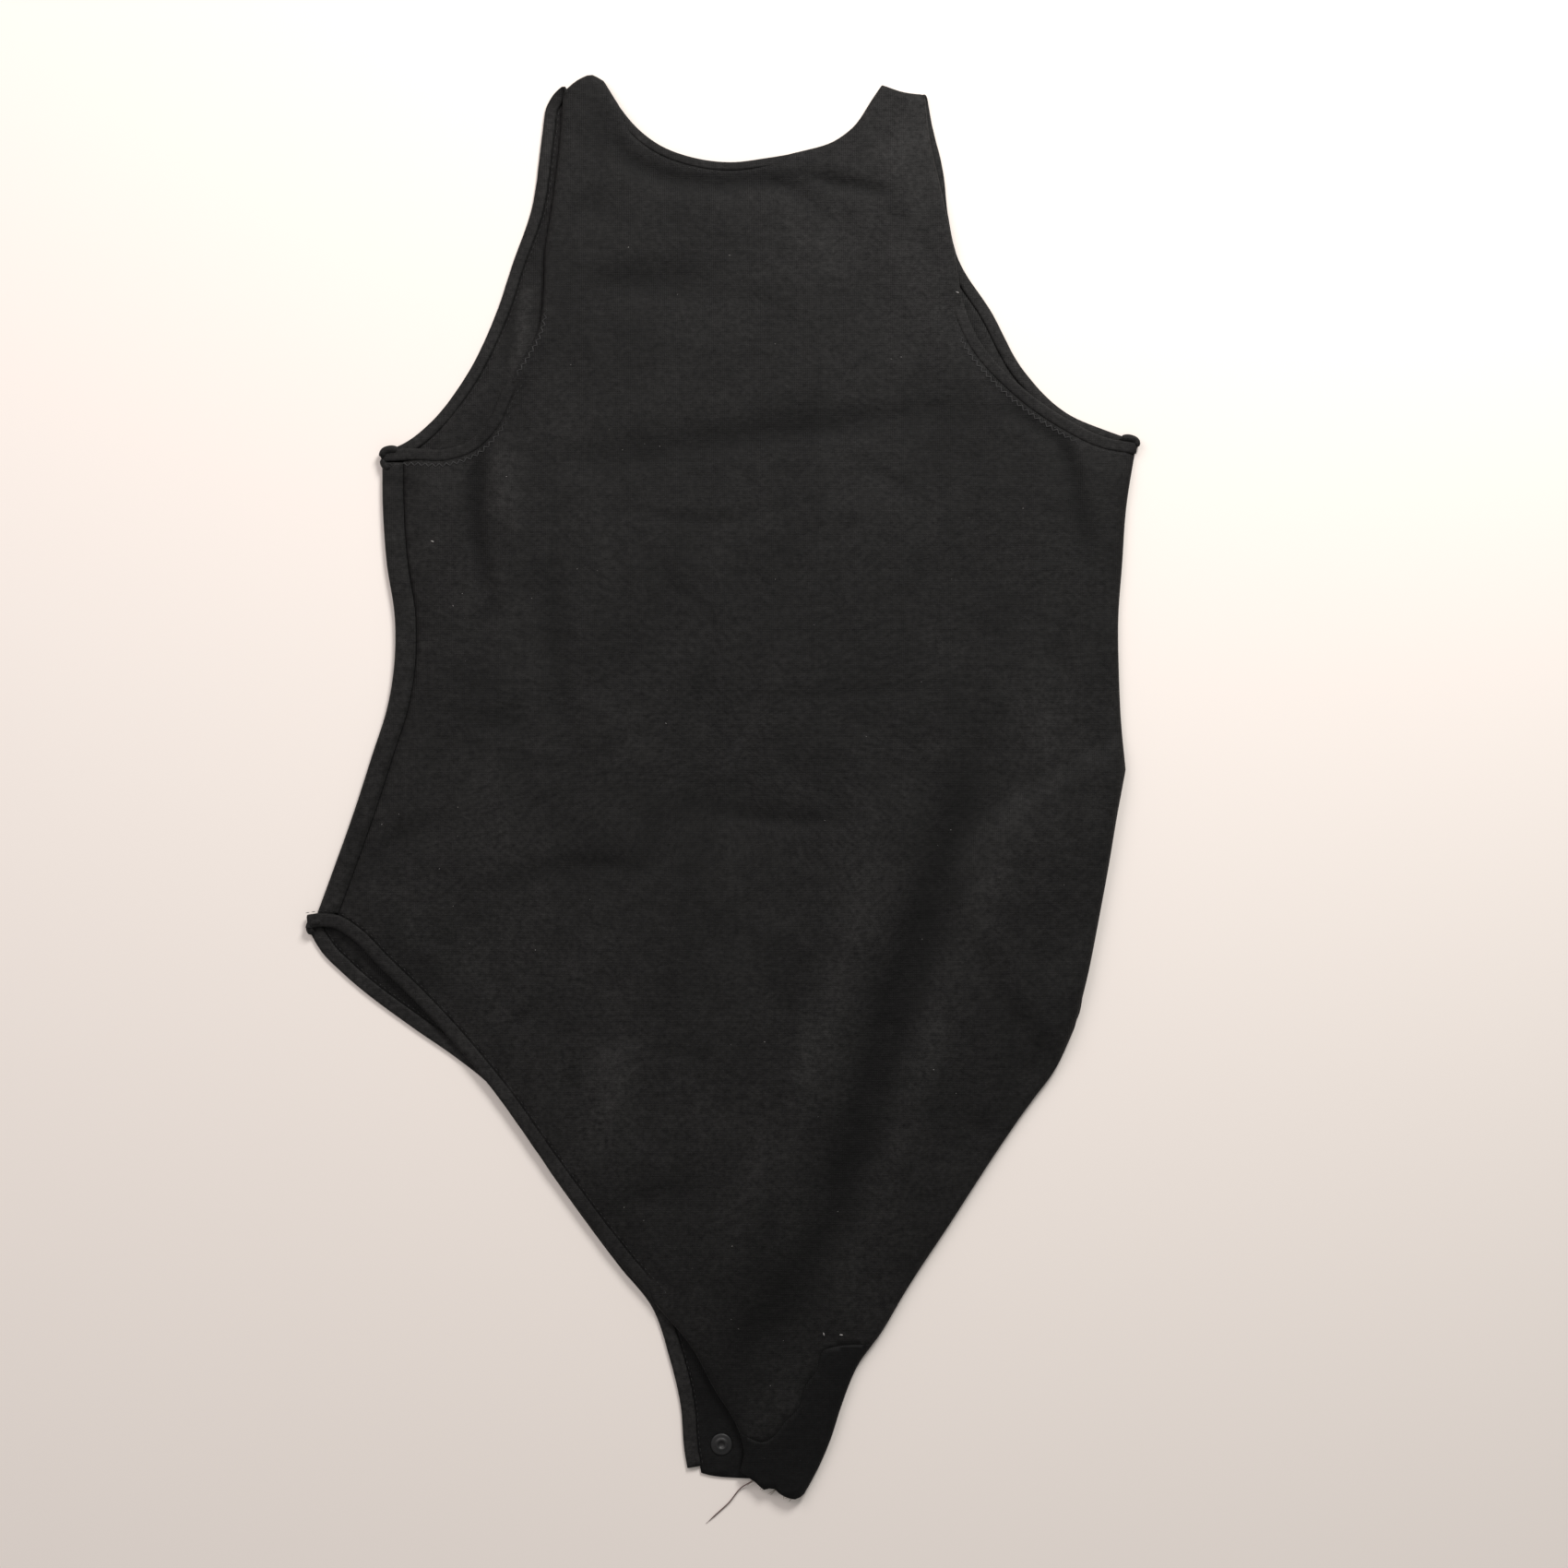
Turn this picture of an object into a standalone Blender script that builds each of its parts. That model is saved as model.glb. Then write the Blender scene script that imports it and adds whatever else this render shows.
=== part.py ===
"""A sleeveless, high-necked leotard in black cotton jersey, laid flat with its front up.

The front lies on the back. Both are thin walls of cloth, cut to their outlines and edged with narrow
bands. The bands turn from front to back at the shoulders, armpits and left hip. The right hip is folded
under, and the two crotch tabs lie open, side by side.

The neck points to +Y, the floor is z = 0, and the origin is the middle of the garment on the floor. Left
and right are those of someone who looks down on it. All tables are in millimetres.
"""

import math
from collections import namedtuple

import bmesh
import bpy
import numpy as np
from mathutils import Vector
from mathutils.geometry import delaunay_2d_cdt

MM = 0.001

# The cloth, its seams and its bands
CLOTH = 1.2
SEAM_GAP = 0.3
NECK_BAND = 4.5
ARM_BAND = 6.0
LEG_BAND = 7.0
BAND_THICK = 2.0

# Heights of the middle of a wall or band above the floor
BACK_LEVEL = CLOTH / 2
FRONT_LEVEL = 4.8
FRONT_LOWEST = 2.95
LOWER_BAND = BAND_THICK / 2
UPPER_BAND = 3.6

# The back wraps round the left side and is seamed to the front on top
WRAP_RADIUS = 1.3
WRAP_LIP = 9.0
WRAP_OUTSIDE = WRAP_RADIUS + CLOTH / 2

# The right side and leg edges of the front roll down to the floor's side
ROLL_WIDTH = 6.0
ROLL_ROWS = (0.6, 1.1, 2.1, 3.6)
ROLL_INSET = ROLL_ROWS[0]
ROLLED_BAND_INSET = 0.5
HIP_EDGE_INSET = 4.5
HIDDEN_BAND_END = 28.0
BACK_SIDE_INSET = 2.0
STRAP_INSET = 3.2
TAB_SEAM_INSET = 0.22

# The hip that is folded under
HIP_THICK = 2.7
HIP_LIFT = 3.0
HIP_FRONT_LIFT = 2.3
HIP_RAMP_START = 8.0
HIP_RAMP_END = 22.0

# How far from a band or the side seam the front rises to its full height, and how much of that it starts with
FRONT_RISE = 13.0
RISE_START = 0.02

# A fold's section falls off with this power of its distance, and its height with this power towards its ends
FOLD_FALL = 1.6
FOLD_TAPER = 0.6
FOLD_END = 0.04

# How finely the walls and bands are divided
EDGE_STEP = 10.0
FRONT_SPACING = 17.0
BACK_SPACING = 25.0
FOLD_STEP = 12.0
FOLD_SIDE = 0.75
EXTENSION = 14.0
MERGE_WITHIN = 0.02
BEND_PARTS = 6

# How clear of the borders the chosen points stay, and as shares of the spacing, the lattice's points of the
# borders and of the chosen points
CHOSEN_CLEARANCE = 3.0
LATTICE_CLEARANCE = 0.45
LATTICE_APART = 0.55
EDGE_TOLERANCE = 0.1

# How much of a strand is left to the bend at its end, how near to it the next point is, and the bend's reach
BEND_TRIM = 2.3
STRAND_SPARE = 2.0
BEND_REACH = 1.75
BEND_SHARE = 0.45

# The flat part of a band's section, as a share of its width
BAND_FLAT = 0.7

# Edges, as landmarks (x, y) that a smooth curve runs through. They go anticlockwise, with the cloth on
# their left.
NECK_FRONT = (
    (81, 357.5), (76, 350), (66, 335.5), (56.5, 328.5), (40.5, 323.5), (21.5, 320), (4, 318),
    (-13.5, 320), (-32.5, 327), (-43, 335), (-51.5, 345), (-61, 360),
)
NECK_BACK = (
    (80.5, 357), (74, 347), (62, 332), (45, 320.5), (22, 315), (4, 314), (-14, 315), (-32, 321),
    (-46, 334), (-61, 359.5),
)
STRAP_RIGHT = ((103.5, 352.5), (91.5, 354), (81, 357.5))
STRAP_LEFT_FRONT = ((-61, 360), (-66.5, 362.8), (-73, 360.5), (-80.5, 354.5))
STRAP_LEFT_BACK = ((-61, 359.5), (-68, 356.5), (-75, 353), (-81, 347), (-92, 341))
ARMHOLE_RIGHT_FRONT = (
    (210.4, 176), (194.5, 178.5), (173.5, 188.5), (150, 205.5), (129, 229.5), (121.5, 248), (117, 273),
    (109.5, 307.5), (104.5, 330), (102, 352.5),
)
ARMHOLE_RIGHT_BACK = (
    (210.8, 177), (197.5, 181.5), (173.5, 192), (152.5, 213), (136, 243), (119, 270.5), (114.5, 290),
    (111.5, 315), (106, 338), (103.5, 352.5),
)
ARMHOLE_LEFT_FRONT = (
    (-80.5, 354.5), (-82, 330), (-85.5, 300), (-89.5, 273), (-90.5, 250), (-93, 233), (-101, 218),
    (-112, 202), (-120.5, 184), (-129, 175), (-141, 170.5), (-157, 171.5), (-173, 171.5),
)
ARMHOLE_LEFT_BACK = (
    (-90, 346), (-92, 329.5), (-97.5, 293), (-106, 269), (-115, 242), (-133, 206), (-150, 185),
    (-161, 176.5), (-173, 171.5),
)
SIDE_RIGHT = ((204, 10.5), (202, 33), (200.8, 60), (200.5, 87), (202.5, 115), (204.5, 143), (209, 172))
SIDE_LEFT = (
    (-172.8, 171), (-172.5, 143), (-170.5, 115), (-166.5, 88), (-166.5, 67), (-170, 43), (-178, 17.5),
    (-187, -10.5), (-197.5, -40), (-208.5, -70),
)
HIP_EDGE = ((178, -120.5), (185, -92.5), (190.5, -64.5), (195.3, -38.5), (200, -10.5), (204, 10.5))
LEG_RIGHT = (
    (41.5, -356), (48.5, -343), (54.5, -329), (60.5, -310.5), (68.5, -291), (80, -275), (93, -253),
    (116, -218), (138, -184), (154.5, -160), (168.5, -141), (178, -120.5),
)
LEG_LEFT_FRONT = (
    (-210.5, -70), (-204, -69), (-197, -69.6), (-190, -73.5), (-173, -90), (-154, -108.5),
    (-118, -149.5), (-85.5, -195), (-50.5, -241), (-29.5, -265), (-16, -281), (-4, -303), (7.5, -322),
    (11, -334), (9, -345),
)
LEG_LEFT_BACK = (
    (-210.5, -68.6), (-208.3, -74), (-203, -82.5), (-193, -92.5), (-157, -120.5), (-136, -135),
    (-118, -149.5), (-85.5, -196.5), (-52, -242), (-36, -262), (-27, -288), (-21.5, -311.5),
    (-19.5, -335), (-18, -344),
)
CROTCH_FRONT = (
    (9, -345), (15.5, -349.5), (22.5, -354), (24, -352.8), (29.5, -356.5), (38, -358.5), (41.5, -356),
)
CROTCH_BACK = ((-18, -344), (-8.4, -347.4), (8.8, -349.2), (24, -349.5), (46, -350))
BACK_TAB_SEAM = ((-45, -267), (10, -267), (90, -267))
FRONT_TAB_SEAM = (
    (11, -326), (20.5, -329.5), (27, -325), (31, -319.5), (38.5, -311.5), (41.5, -301), (47.5, -293),
    (50.5, -283), (58, -280.8), (76, -280),
)
HIP_FOLD_OUTLINE = (
    (203, 8), (176, -8), (146, -30), (134, -49), (150, -79), (168, -109), (177, -117), (184.5, -90),
    (192.5, -48), (199, -12),
)

SNAP_CENTRE = (-0.7, -331.5)

# Height of the front's rolled right edge at each level y of the garment
EdgeHeight = namedtuple("EdgeHeight", "y height")
ROLLED_EDGE = (
    EdgeHeight(-360, 2.9),
    EdgeHeight(-150, 2.9),
    EdgeHeight(-112, 3.9),
    EdgeHeight(2, 3.9),
    EdgeHeight(40, 2.1),
    EdgeHeight(180, 2.1),
)

# Folds of the front: a curve through points (x, y), half its width, and its height (a trough is negative)
Fold = namedtuple("Fold", "path width height")
FOLDS = (
    Fold(((-90, 164), (31, 181.5), (145, 194.5)), 11, -1.3),
    Fold(((-88, 227), (-104, 204), (-109, 176)), 8, -1.0),
    Fold(((-122.5, 173), (-126.5, 149), (-118, 92)), 8, -1.8),
    Fold(((-110, 185), (-112, 157), (-103, 120)), 11, 1.4),
    Fold(((142.5, 204), (172.5, 170), (187, 115)), 9, -1.6),
    Fold(((136, 33.5), (116, -20), (94, -90), (31, -258), (-2, -297)), 15, -1.9),
    Fold(((160, 10), (126, -70), (85, -185), (55, -262)), 15, 1.0),
    Fold(((96, 0), (66, -80), (20, -200), (-5, -260)), 15, 0.9),
    Fold(((-43.5, 314), (3, 306.5), (45, 303), (58, 290)), 8, -1.2),
    Fold(((35.5, 313), (68.5, 306.5), (94, 296)), 7, -0.9),
    Fold(((-67, 249.5), (-8.5, 260)), 14, -0.9),
    Fold(((-60, -206.5), (-11, -205.5)), 10, -1.0),
    Fold(((-186, -50.5), (-165, -24.5), (-137, -13)), 8, -1.0),
    Fold(((-123, -52.5), (-85.5, -41), (-39, -38.5)), 9, -0.9),
    Fold(((-127.5, 36), (-99.5, 33.5)), 9, -0.9),
    Fold(((-15.5, -8.5), (68.5, -15.5)), 10, -0.7),
    Fold(((-85.5, 131.5), (-85.5, 73), (-74, 12.5)), 9, -0.8),
    Fold(((-60, -158), (-39, -128)), 10, 1.0),
)

# Colours, roughness
BLACK_JERSEY = ("black_jersey", (0.020, 0.019, 0.019), 0.92)
BLACK_BAND = ("black_band", (0.022, 0.021, 0.021), 0.90)
BLACK_TAB = ("black_tab", (0.012, 0.012, 0.012), 0.88)
BLACK_SNAP = ("black_snap", (0.030, 0.030, 0.030), 0.45)

Edge = namedtuple("Edge", "points normals core")
Border = namedtuple("Border", "edge inset rows")
Cut = namedtuple("Cut", "outline borders seams creases")


# Curves in the plan


def spline(landmarks, step):
    """Points about one step apart on the smooth curve through the landmarks."""
    knots = np.array(landmarks, float)
    chord = np.r_[0, np.cumsum(np.linalg.norm(np.diff(knots, axis=0), axis=1))]
    slope = np.gradient(knots, chord, axis=0)
    fine = np.linspace(0, chord[-1], 40 * len(knots))
    span = np.clip(np.searchsorted(chord, fine, side="right") - 1, 0, len(chord) - 2)
    length = (chord[span + 1] - chord[span])[:, None]
    t = (fine - chord[span])[:, None] / length
    curve = (
        (2 * t**3 - 3 * t**2 + 1) * knots[span]
        + (t**3 - 2 * t**2 + t) * length * slope[span]
        + (3 * t**2 - 2 * t**3) * knots[span + 1]
        + (t**3 - t**2) * length * slope[span + 1]
    )
    run = np.r_[0, np.cumsum(np.linalg.norm(np.diff(curve, axis=0), axis=1))]
    at = np.linspace(0, run[-1], max(2, round(run[-1] / step)) + 1)
    return np.column_stack([np.interp(at, run, curve[:, axis]) for axis in range(curve.shape[1])])


def left_normals(points):
    """Mitred normals: a line moved along them stays at one distance from each of its straight parts."""
    direction = np.diff(points, axis=0)
    direction /= np.linalg.norm(direction, axis=1)[:, None]
    normals = np.column_stack([-direction[:, 1], direction[:, 0]])
    before, after = np.vstack([normals[:1], normals]), np.vstack([normals, normals[-1:]])
    return (before + after) / (1 + (before * after).sum(axis=1))[:, None]


def trace(landmarks, step=EDGE_STEP, head=None, tail=None):
    """An edge: its curve, drawn on at both ends, and the normals into the cloth. head and tail aim them."""
    core = spline(landmarks, step)
    before = core[0] - core[1] if head is None else np.array(head, float)
    after = core[-1] - core[-2] if tail is None else np.array(tail, float)
    start = core[0] + before / np.linalg.norm(before) * EXTENSION
    end = core[-1] + after / np.linalg.norm(after) * EXTENSION
    points = np.vstack([start, core, end])
    return Edge(points, left_normals(points), slice(1, -1))


def shifted(edge, inset):
    return edge.points + edge.normals * inset


def nearest(points, line):
    """How far each point is from a polyline, how far along that is, from 0 to 1, and if it is on its left."""
    start, along = line[:-1], np.diff(line, axis=0)
    length = np.linalg.norm(along, axis=1)
    t = ((points[:, None] - start) * along).sum(axis=2) / length**2
    t = np.clip(t, 0, 1)
    away = points[:, None] - (start + t[..., None] * along)
    far = np.linalg.norm(away, axis=2)
    best = far.argmin(axis=1)
    rows = np.arange(len(points))
    run = np.r_[0, np.cumsum(length)]
    left = along[best, 0] * away[rows, best, 1] > along[best, 1] * away[rows, best, 0]
    return far[rows, best], (run[best] + t[rows, best] * length[best]) / run[-1], left


def inside(points, polygon):
    x, y = points[:, 0, None], points[:, 1, None]
    ax, ay = polygon[:, 0], polygon[:, 1]
    bx, by = np.roll(ax, -1), np.roll(ay, -1)
    level = by - ay
    crossing_x = ax + (y - ay) * (bx - ax) / np.where(level == 0, 1, level)
    crosses = ((ay > y) != (by > y)) & (x < crossing_x)
    return crosses.sum(axis=1) % 2 == 1


def smoothstep(t):
    t = np.clip(t, 0, 1)
    return t * t * (3 - 2 * t)


# Heights of the two walls


def hip_lift(points):
    """1 over the folded hip, falling to 0 round it."""
    outline = np.vstack([HIP_OUTLINE, HIP_OUTLINE[:1]])
    away = nearest(points, outline)[0]
    away[inside(points, HIP_OUTLINE)] = 0
    return smoothstep((HIP_RAMP_END - away) / (HIP_RAMP_END - HIP_RAMP_START))


def fold_height(points):
    """What the folds add to the front's height."""
    height = np.zeros(len(points))
    for fold in FOLDS:
        away, along, _ = nearest(points, spline(fold.path, FOLD_STEP / 2))
        fade = np.sin(math.pi * np.clip(along, FOLD_END, 1 - FOLD_END)) ** FOLD_TAPER
        height += fold.height * fade * np.exp(-((away / fold.width) ** 2) * FOLD_FALL)
    return height


def front_height(points):
    """Height of the middle of the front's wall."""
    lift = hip_lift(points)
    height = FRONT_LEVEL + HIP_FRONT_LIFT * lift + fold_height(points)
    for border in FRONT_BANDED:
        away = nearest(points, border.edge.points)[0] - border.inset
        height = UPPER_BAND + (height - UPPER_BAND) * smoothstep(away / FRONT_RISE + RISE_START)
    lip_level = BACK_LEVEL + 2 * WRAP_RADIUS
    away = nearest(points, FRONT_SEAM.points)[0]
    height = lip_level + (height - lip_level) * smoothstep(away / FRONT_RISE + RISE_START)
    height = np.maximum(height, FRONT_LOWEST + HIP_FRONT_LIFT * lift)
    for line in ROLLED_LINES:
        away = np.clip((nearest(points, line)[0] - ROLL_INSET) / ROLL_WIDTH, 0, 1)
        low = np.interp(points[:, 1], [row.y for row in ROLLED_EDGE], [row.height for row in ROLLED_EDGE])
        height = low + (height - low) * np.sqrt(1 - (1 - away) ** 2)
    return height


def back_height(points):
    return BACK_LEVEL + HIP_LIFT * hip_lift(points)


# Walls of cloth


def lattice(low, high, spacing):
    rows = np.arange(low[1], high[1], spacing * math.sqrt(0.75))
    points = [
        (x + (index % 2) * spacing / 2, y)
        for index, y in enumerate(rows)
        for x in np.arange(low[0], high[0], spacing)
    ]
    return np.array(points)


def in_region(points, cut, margin):
    """Whether each point is in the outline, on the cloth's side of the seams and clear of the borders."""
    kept = inside(points, np.vstack([edge.points[edge.core] for edge in cut.outline]))
    for border in cut.borders:
        kept &= nearest(points, border.edge.points)[0] > border.inset + margin
    for seam in cut.seams:
        kept &= nearest(points, seam.points)[2]
    return kept


def fold_points():
    """Points along each fold's middle and both its sides."""
    points = []
    for fold in FOLDS:
        middle = spline(fold.path, FOLD_STEP)
        normals = left_normals(middle)
        for side in (-FOLD_SIDE, 0, FOLD_SIDE):
            points.append(middle + normals * fold.width * side)
    return np.vstack(points)


def flat_sheet(cut, spacing, chosen):
    """A triangulated sheet of the cut, with the chosen points and an even lattice between them."""
    low = np.min([border.edge.points.min(axis=0) for border in cut.borders], axis=0)
    high = np.max([border.edge.points.max(axis=0) for border in cut.borders], axis=0)
    inner = lattice(low, high, spacing)
    inner = inner[in_region(inner, cut, spacing * LATTICE_CLEARANCE)]
    if len(chosen):
        chosen = chosen[in_region(chosen, cut, CHOSEN_CLEARANCE)]
        apart = np.linalg.norm(inner[:, None] - chosen, axis=2).min(axis=1)
        inner = np.vstack([chosen, inner[apart > spacing * LATTICE_APART]])
    lines = [shifted(border.edge, row) for border in cut.borders for row in (border.inset, *border.rows)]
    points, links = [*inner], []
    for line in (*lines, *cut.creases):
        first = len(points)
        points.extend(line)
        links.extend((first + index, first + index + 1) for index in range(len(line) - 1))
    found = delaunay_2d_cdt([tuple(point) for point in points], links, [], 0, MERGE_WITHIN)
    flat = np.array([tuple(point) for point in found[0]])
    faces = np.array(found[2])
    faces = faces[in_region(flat[faces].mean(axis=1), cut, -EDGE_TOLERANCE)]
    used, index = np.unique(faces, return_inverse=True)
    return flat[used], index.reshape(faces.shape)


def wrapped(points, heights):
    """Bends what lies left of the left side's fold line up and over, onto the top."""
    fold_x = np.interp(points[:, 1], SIDE_LINE[::-1, 1], SIDE_LINE[::-1, 0]) + WRAP_OUTSIDE
    beyond = fold_x - points[:, 0]
    turn = np.clip(beyond / WRAP_RADIUS, 0, math.pi)
    over = np.maximum(beyond - math.pi * WRAP_RADIUS, 0)
    x = np.where(beyond > 0, fold_x - WRAP_RADIUS * np.sin(turn) + over, points[:, 0])
    z = heights + WRAP_RADIUS * (1 - np.cos(turn))
    return np.column_stack([x, points[:, 1], z])


def placed(points, heights):
    return np.column_stack([points, heights])


# Objects


def material(name, colour, roughness):
    made = bpy.data.materials.new(name)
    made.use_nodes = True
    shader = made.node_tree.nodes["Principled BSDF"]
    shader.inputs["Base Color"].default_value = (*colour, 1)
    shader.inputs["Roughness"].default_value = roughness
    shader.inputs["Metallic"].default_value = 0.0
    made.diffuse_color = (*colour, 1)
    return made


def add_object(name, points, faces, look):
    mesh = bpy.data.meshes.new(name)
    mesh.from_pydata((np.asarray(points) * MM).tolist(), [], [tuple(map(int, face)) for face in faces])
    shape = bmesh.new()
    shape.from_mesh(mesh)
    bmesh.ops.recalc_face_normals(shape, faces=shape.faces)
    shape.to_mesh(mesh)
    shape.free()
    mesh.shade_smooth()
    mesh.materials.append(look)
    made = bpy.data.objects.new(name, mesh)
    GARMENT.objects.link(made)
    return made


def add_wall(name, cut, spacing, height, look, chosen=(), place=placed):
    """A wall of cloth of the given cut, whose middle is at the given height."""
    flat, faces = flat_sheet(cut, spacing, chosen)
    made = add_object(name, place(flat, height(flat)), faces, look)
    wall = made.modifiers.new("cloth", "SOLIDIFY")
    wall.thickness = CLOTH * MM
    wall.offset = 0
    return made


def strand(edge, width, level, inset=0.0, trims=(BEND_TRIM, BEND_TRIM)):
    """The middle line of a band along an edge, and the way to its opening, less a length at each end."""
    points = edge.points[edge.core]
    normals = left_normals(points)
    run = np.r_[0, np.cumsum(np.linalg.norm(np.diff(points, axis=0), axis=1))]
    first, last = trims[0], run[-1] - trims[1]
    at = np.r_[first, run[(run > first + STRAND_SPARE) & (run < last - STRAND_SPARE)], last]
    middle = points + normals * (inset + width / 2)
    sideways = np.column_stack([-normals, np.zeros(len(normals))])
    path = [np.interp(at, run, middle[:, axis]) for axis in (0, 1)]
    side = [np.interp(at, run, sideways[:, axis]) for axis in (0, 1, 2)]
    return np.column_stack([*path, np.full(len(at), level)]), np.column_stack(side)


def bend(first, second):
    """Joins the end of one strand to the start of the next, round a hairpin."""
    (path, side), (next_path, next_side) = first, second
    start, end = path[-1], next_path[0]
    leave = (path[-1] - path[-2]) / np.linalg.norm(path[-1] - path[-2])
    arrive = (next_path[1] - next_path[0]) / np.linalg.norm(next_path[1] - next_path[0])
    reach = max(BEND_REACH, BEND_SHARE * np.linalg.norm(end - start))
    t = np.linspace(0, 1, BEND_PARTS + 1)[1:-1, None]
    curve = (
        (1 - t) ** 3 * start
        + 3 * (1 - t) ** 2 * t * (start + leave * reach)
        + 3 * (1 - t) * t**2 * (end - arrive * reach)
        + t**3 * end
    )
    return curve, (1 - t) * side[-1] + t * next_side[0]


def add_band(name, strands, width, look, ring):
    """A flat, rounded band swept along its strands, closed into a ring or left with two cut ends."""
    pieces = []
    for index, piece in enumerate(strands):
        pieces.append(piece)
        if ring or index < len(strands) - 1:
            pieces.append(bend(piece, strands[(index + 1) % len(strands)]))
    path = np.vstack([piece[0] for piece in pieces])
    side = np.vstack([piece[1] for piece in pieces])
    if ring:
        forward = np.roll(path, -1, axis=0) - np.roll(path, 1, axis=0)
    else:
        forward = np.gradient(path, axis=0)
    forward /= np.linalg.norm(forward, axis=1)[:, None]
    side -= (side * forward).sum(axis=1)[:, None] * forward
    side /= np.linalg.norm(side, axis=1)[:, None]
    up = np.cross(forward, side)
    across, thick = width / 2, BAND_THICK / 2
    flat = across * BAND_FLAT
    section = ((across, 0), (flat, thick), (-flat, thick), (-across, 0), (-flat, -thick), (flat, -thick))
    rings = np.stack([path + side * u + up * v for u, v in section], axis=1)
    points = rings.reshape(-1, 3)
    count, around = len(rings), len(section)
    faces = []
    for index in range(count if ring else count - 1):
        here, there = index * around, (index + 1) % count * around
        for corner in range(around):
            after = (corner + 1) % around
            faces.append((here + corner, here + after, there + after, there + corner))
    if not ring:
        faces.append(tuple(range(around)))
        faces.append(tuple(range((count - 1) * around, count * around)))
    return add_object(name, points, faces, look)


def add_hip_fold(look):
    """The two layers folded under the right hip: one solid with a groove between them round its edge."""
    middle = HIP_THICK / 2
    levels = (
        (0, 0.7), (0.4, 0.1), (middle - 0.4, 0.1), (middle, 0.9),
        (middle + 0.4, 0.1), (HIP_THICK - 0.4, 0.1), (HIP_THICK, 0.7),
    )
    points = []
    for height, inset in levels:
        ring = HIP_OUTLINE + HIP_NORMALS * inset
        points.append(placed(ring, np.full(len(ring), height)))
    around = len(HIP_OUTLINE)
    faces = []
    for level in range(len(levels) - 1):
        for corner in range(around):
            after = (corner + 1) % around
            here, there = level * around, (level + 1) * around
            faces.append((here + corner, here + after, there + after, there + corner))
    faces.append(tuple(range(around)))
    faces.append(tuple(range((len(levels) - 1) * around, len(levels) * around)))
    return add_object("hip_fold", np.vstack(points), faces, look)


def add_snap(look):
    """A press stud's ring on the back tab, as a turned profile."""
    profile = ((1.7, 1.1), (2.6, 1.4), (3.6, 0.7), (5.1, 0.7), (5.5, 0.35), (5.1, 0.0), (1.7, 0.0))
    mesh = bpy.data.meshes.new("crotch_snap")
    rim = len(profile)
    mesh.from_pydata(
        [(radius * MM, 0, height * MM) for radius, height in profile],
        [(index, (index + 1) % rim) for index in range(rim)],
        [],
    )
    mesh.materials.append(look)
    made = bpy.data.objects.new("crotch_snap", mesh)
    GARMENT.objects.link(made)
    made.location = (SNAP_CENTRE[0] * MM, SNAP_CENTRE[1] * MM, (CLOTH + SEAM_GAP) * MM)
    turn = made.modifiers.new("turn", "SCREW")
    turn.steps = turn.render_steps = 20
    turn.use_merge_vertices = True
    turn.merge_threshold = 0.00001
    return made


for stale in list(bpy.data.objects):
    bpy.data.objects.remove(stale)
GARMENT = bpy.data.collections.new("leotard")
bpy.context.scene.collection.children.link(GARMENT)

# Edges that several pieces share
SIDE_LINE = spline(SIDE_LEFT, EDGE_STEP)
HIP_OUTLINE = spline(HIP_FOLD_OUTLINE + HIP_FOLD_OUTLINE[:1], EDGE_STEP)[:-1]
HIP_NORMALS = left_normals(np.vstack([HIP_OUTLINE[-1:], HIP_OUTLINE, HIP_OUTLINE[:1]]))[1:-1]
neck_front, neck_back = trace(NECK_FRONT), trace(NECK_BACK)
armhole_right_front, armhole_right_back = trace(ARMHOLE_RIGHT_FRONT), trace(ARMHOLE_RIGHT_BACK)
armhole_left_front = trace(ARMHOLE_LEFT_FRONT)
armhole_left_back = trace(ARMHOLE_LEFT_BACK, tail=(-1, 0))
leg_left_front = trace(LEG_LEFT_FRONT)
leg_left_back = trace(LEG_LEFT_BACK, head=(-1, 0))
leg_right, hip_edge, side_right = trace(LEG_RIGHT), trace(HIP_EDGE), trace(SIDE_RIGHT)
front_tab_seam, front_tab_top = trace(FRONT_TAB_SEAM), trace(FRONT_TAB_SEAM[::-1])
back_tab_seam, back_tab_top = trace(BACK_TAB_SEAM), trace(BACK_TAB_SEAM[::-1])
strap_right = trace(STRAP_RIGHT)
strap_left_front, strap_left_back = trace(STRAP_LEFT_FRONT), trace(STRAP_LEFT_BACK)
crotch_front, crotch_back = trace(CROTCH_FRONT), trace(CROTCH_BACK)
FRONT_SEAM = trace([(x + WRAP_OUTSIDE + WRAP_LIP + SEAM_GAP, y) for x, y in SIDE_LEFT])
ROLLED_LINES = [leg_right.points, hip_edge.points, side_right.points]

# The wrap's outermost line and the lines across its bend, moved sideways from the left side
wrap_reach = math.pi * WRAP_RADIUS
wrap_edge = trace([(x + WRAP_OUTSIDE - wrap_reach - WRAP_LIP, y) for x, y in SIDE_LEFT])
wrap_creases = [
    trace([(x + WRAP_OUTSIDE - wrap_reach * part / BEND_PARTS, y) for x, y in SIDE_LEFT]).points
    for part in range(BEND_PARTS + 1)
]

# Lines on the back where its rise over the folded hip starts and ends
hip_loop = np.vstack([HIP_OUTLINE, HIP_OUTLINE[:1]])
hip_loop_normals = np.vstack([HIP_NORMALS, HIP_NORMALS[:1]])
hip_creases = [hip_loop - hip_loop_normals * away for away in (HIP_RAMP_START, HIP_RAMP_END)]

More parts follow.
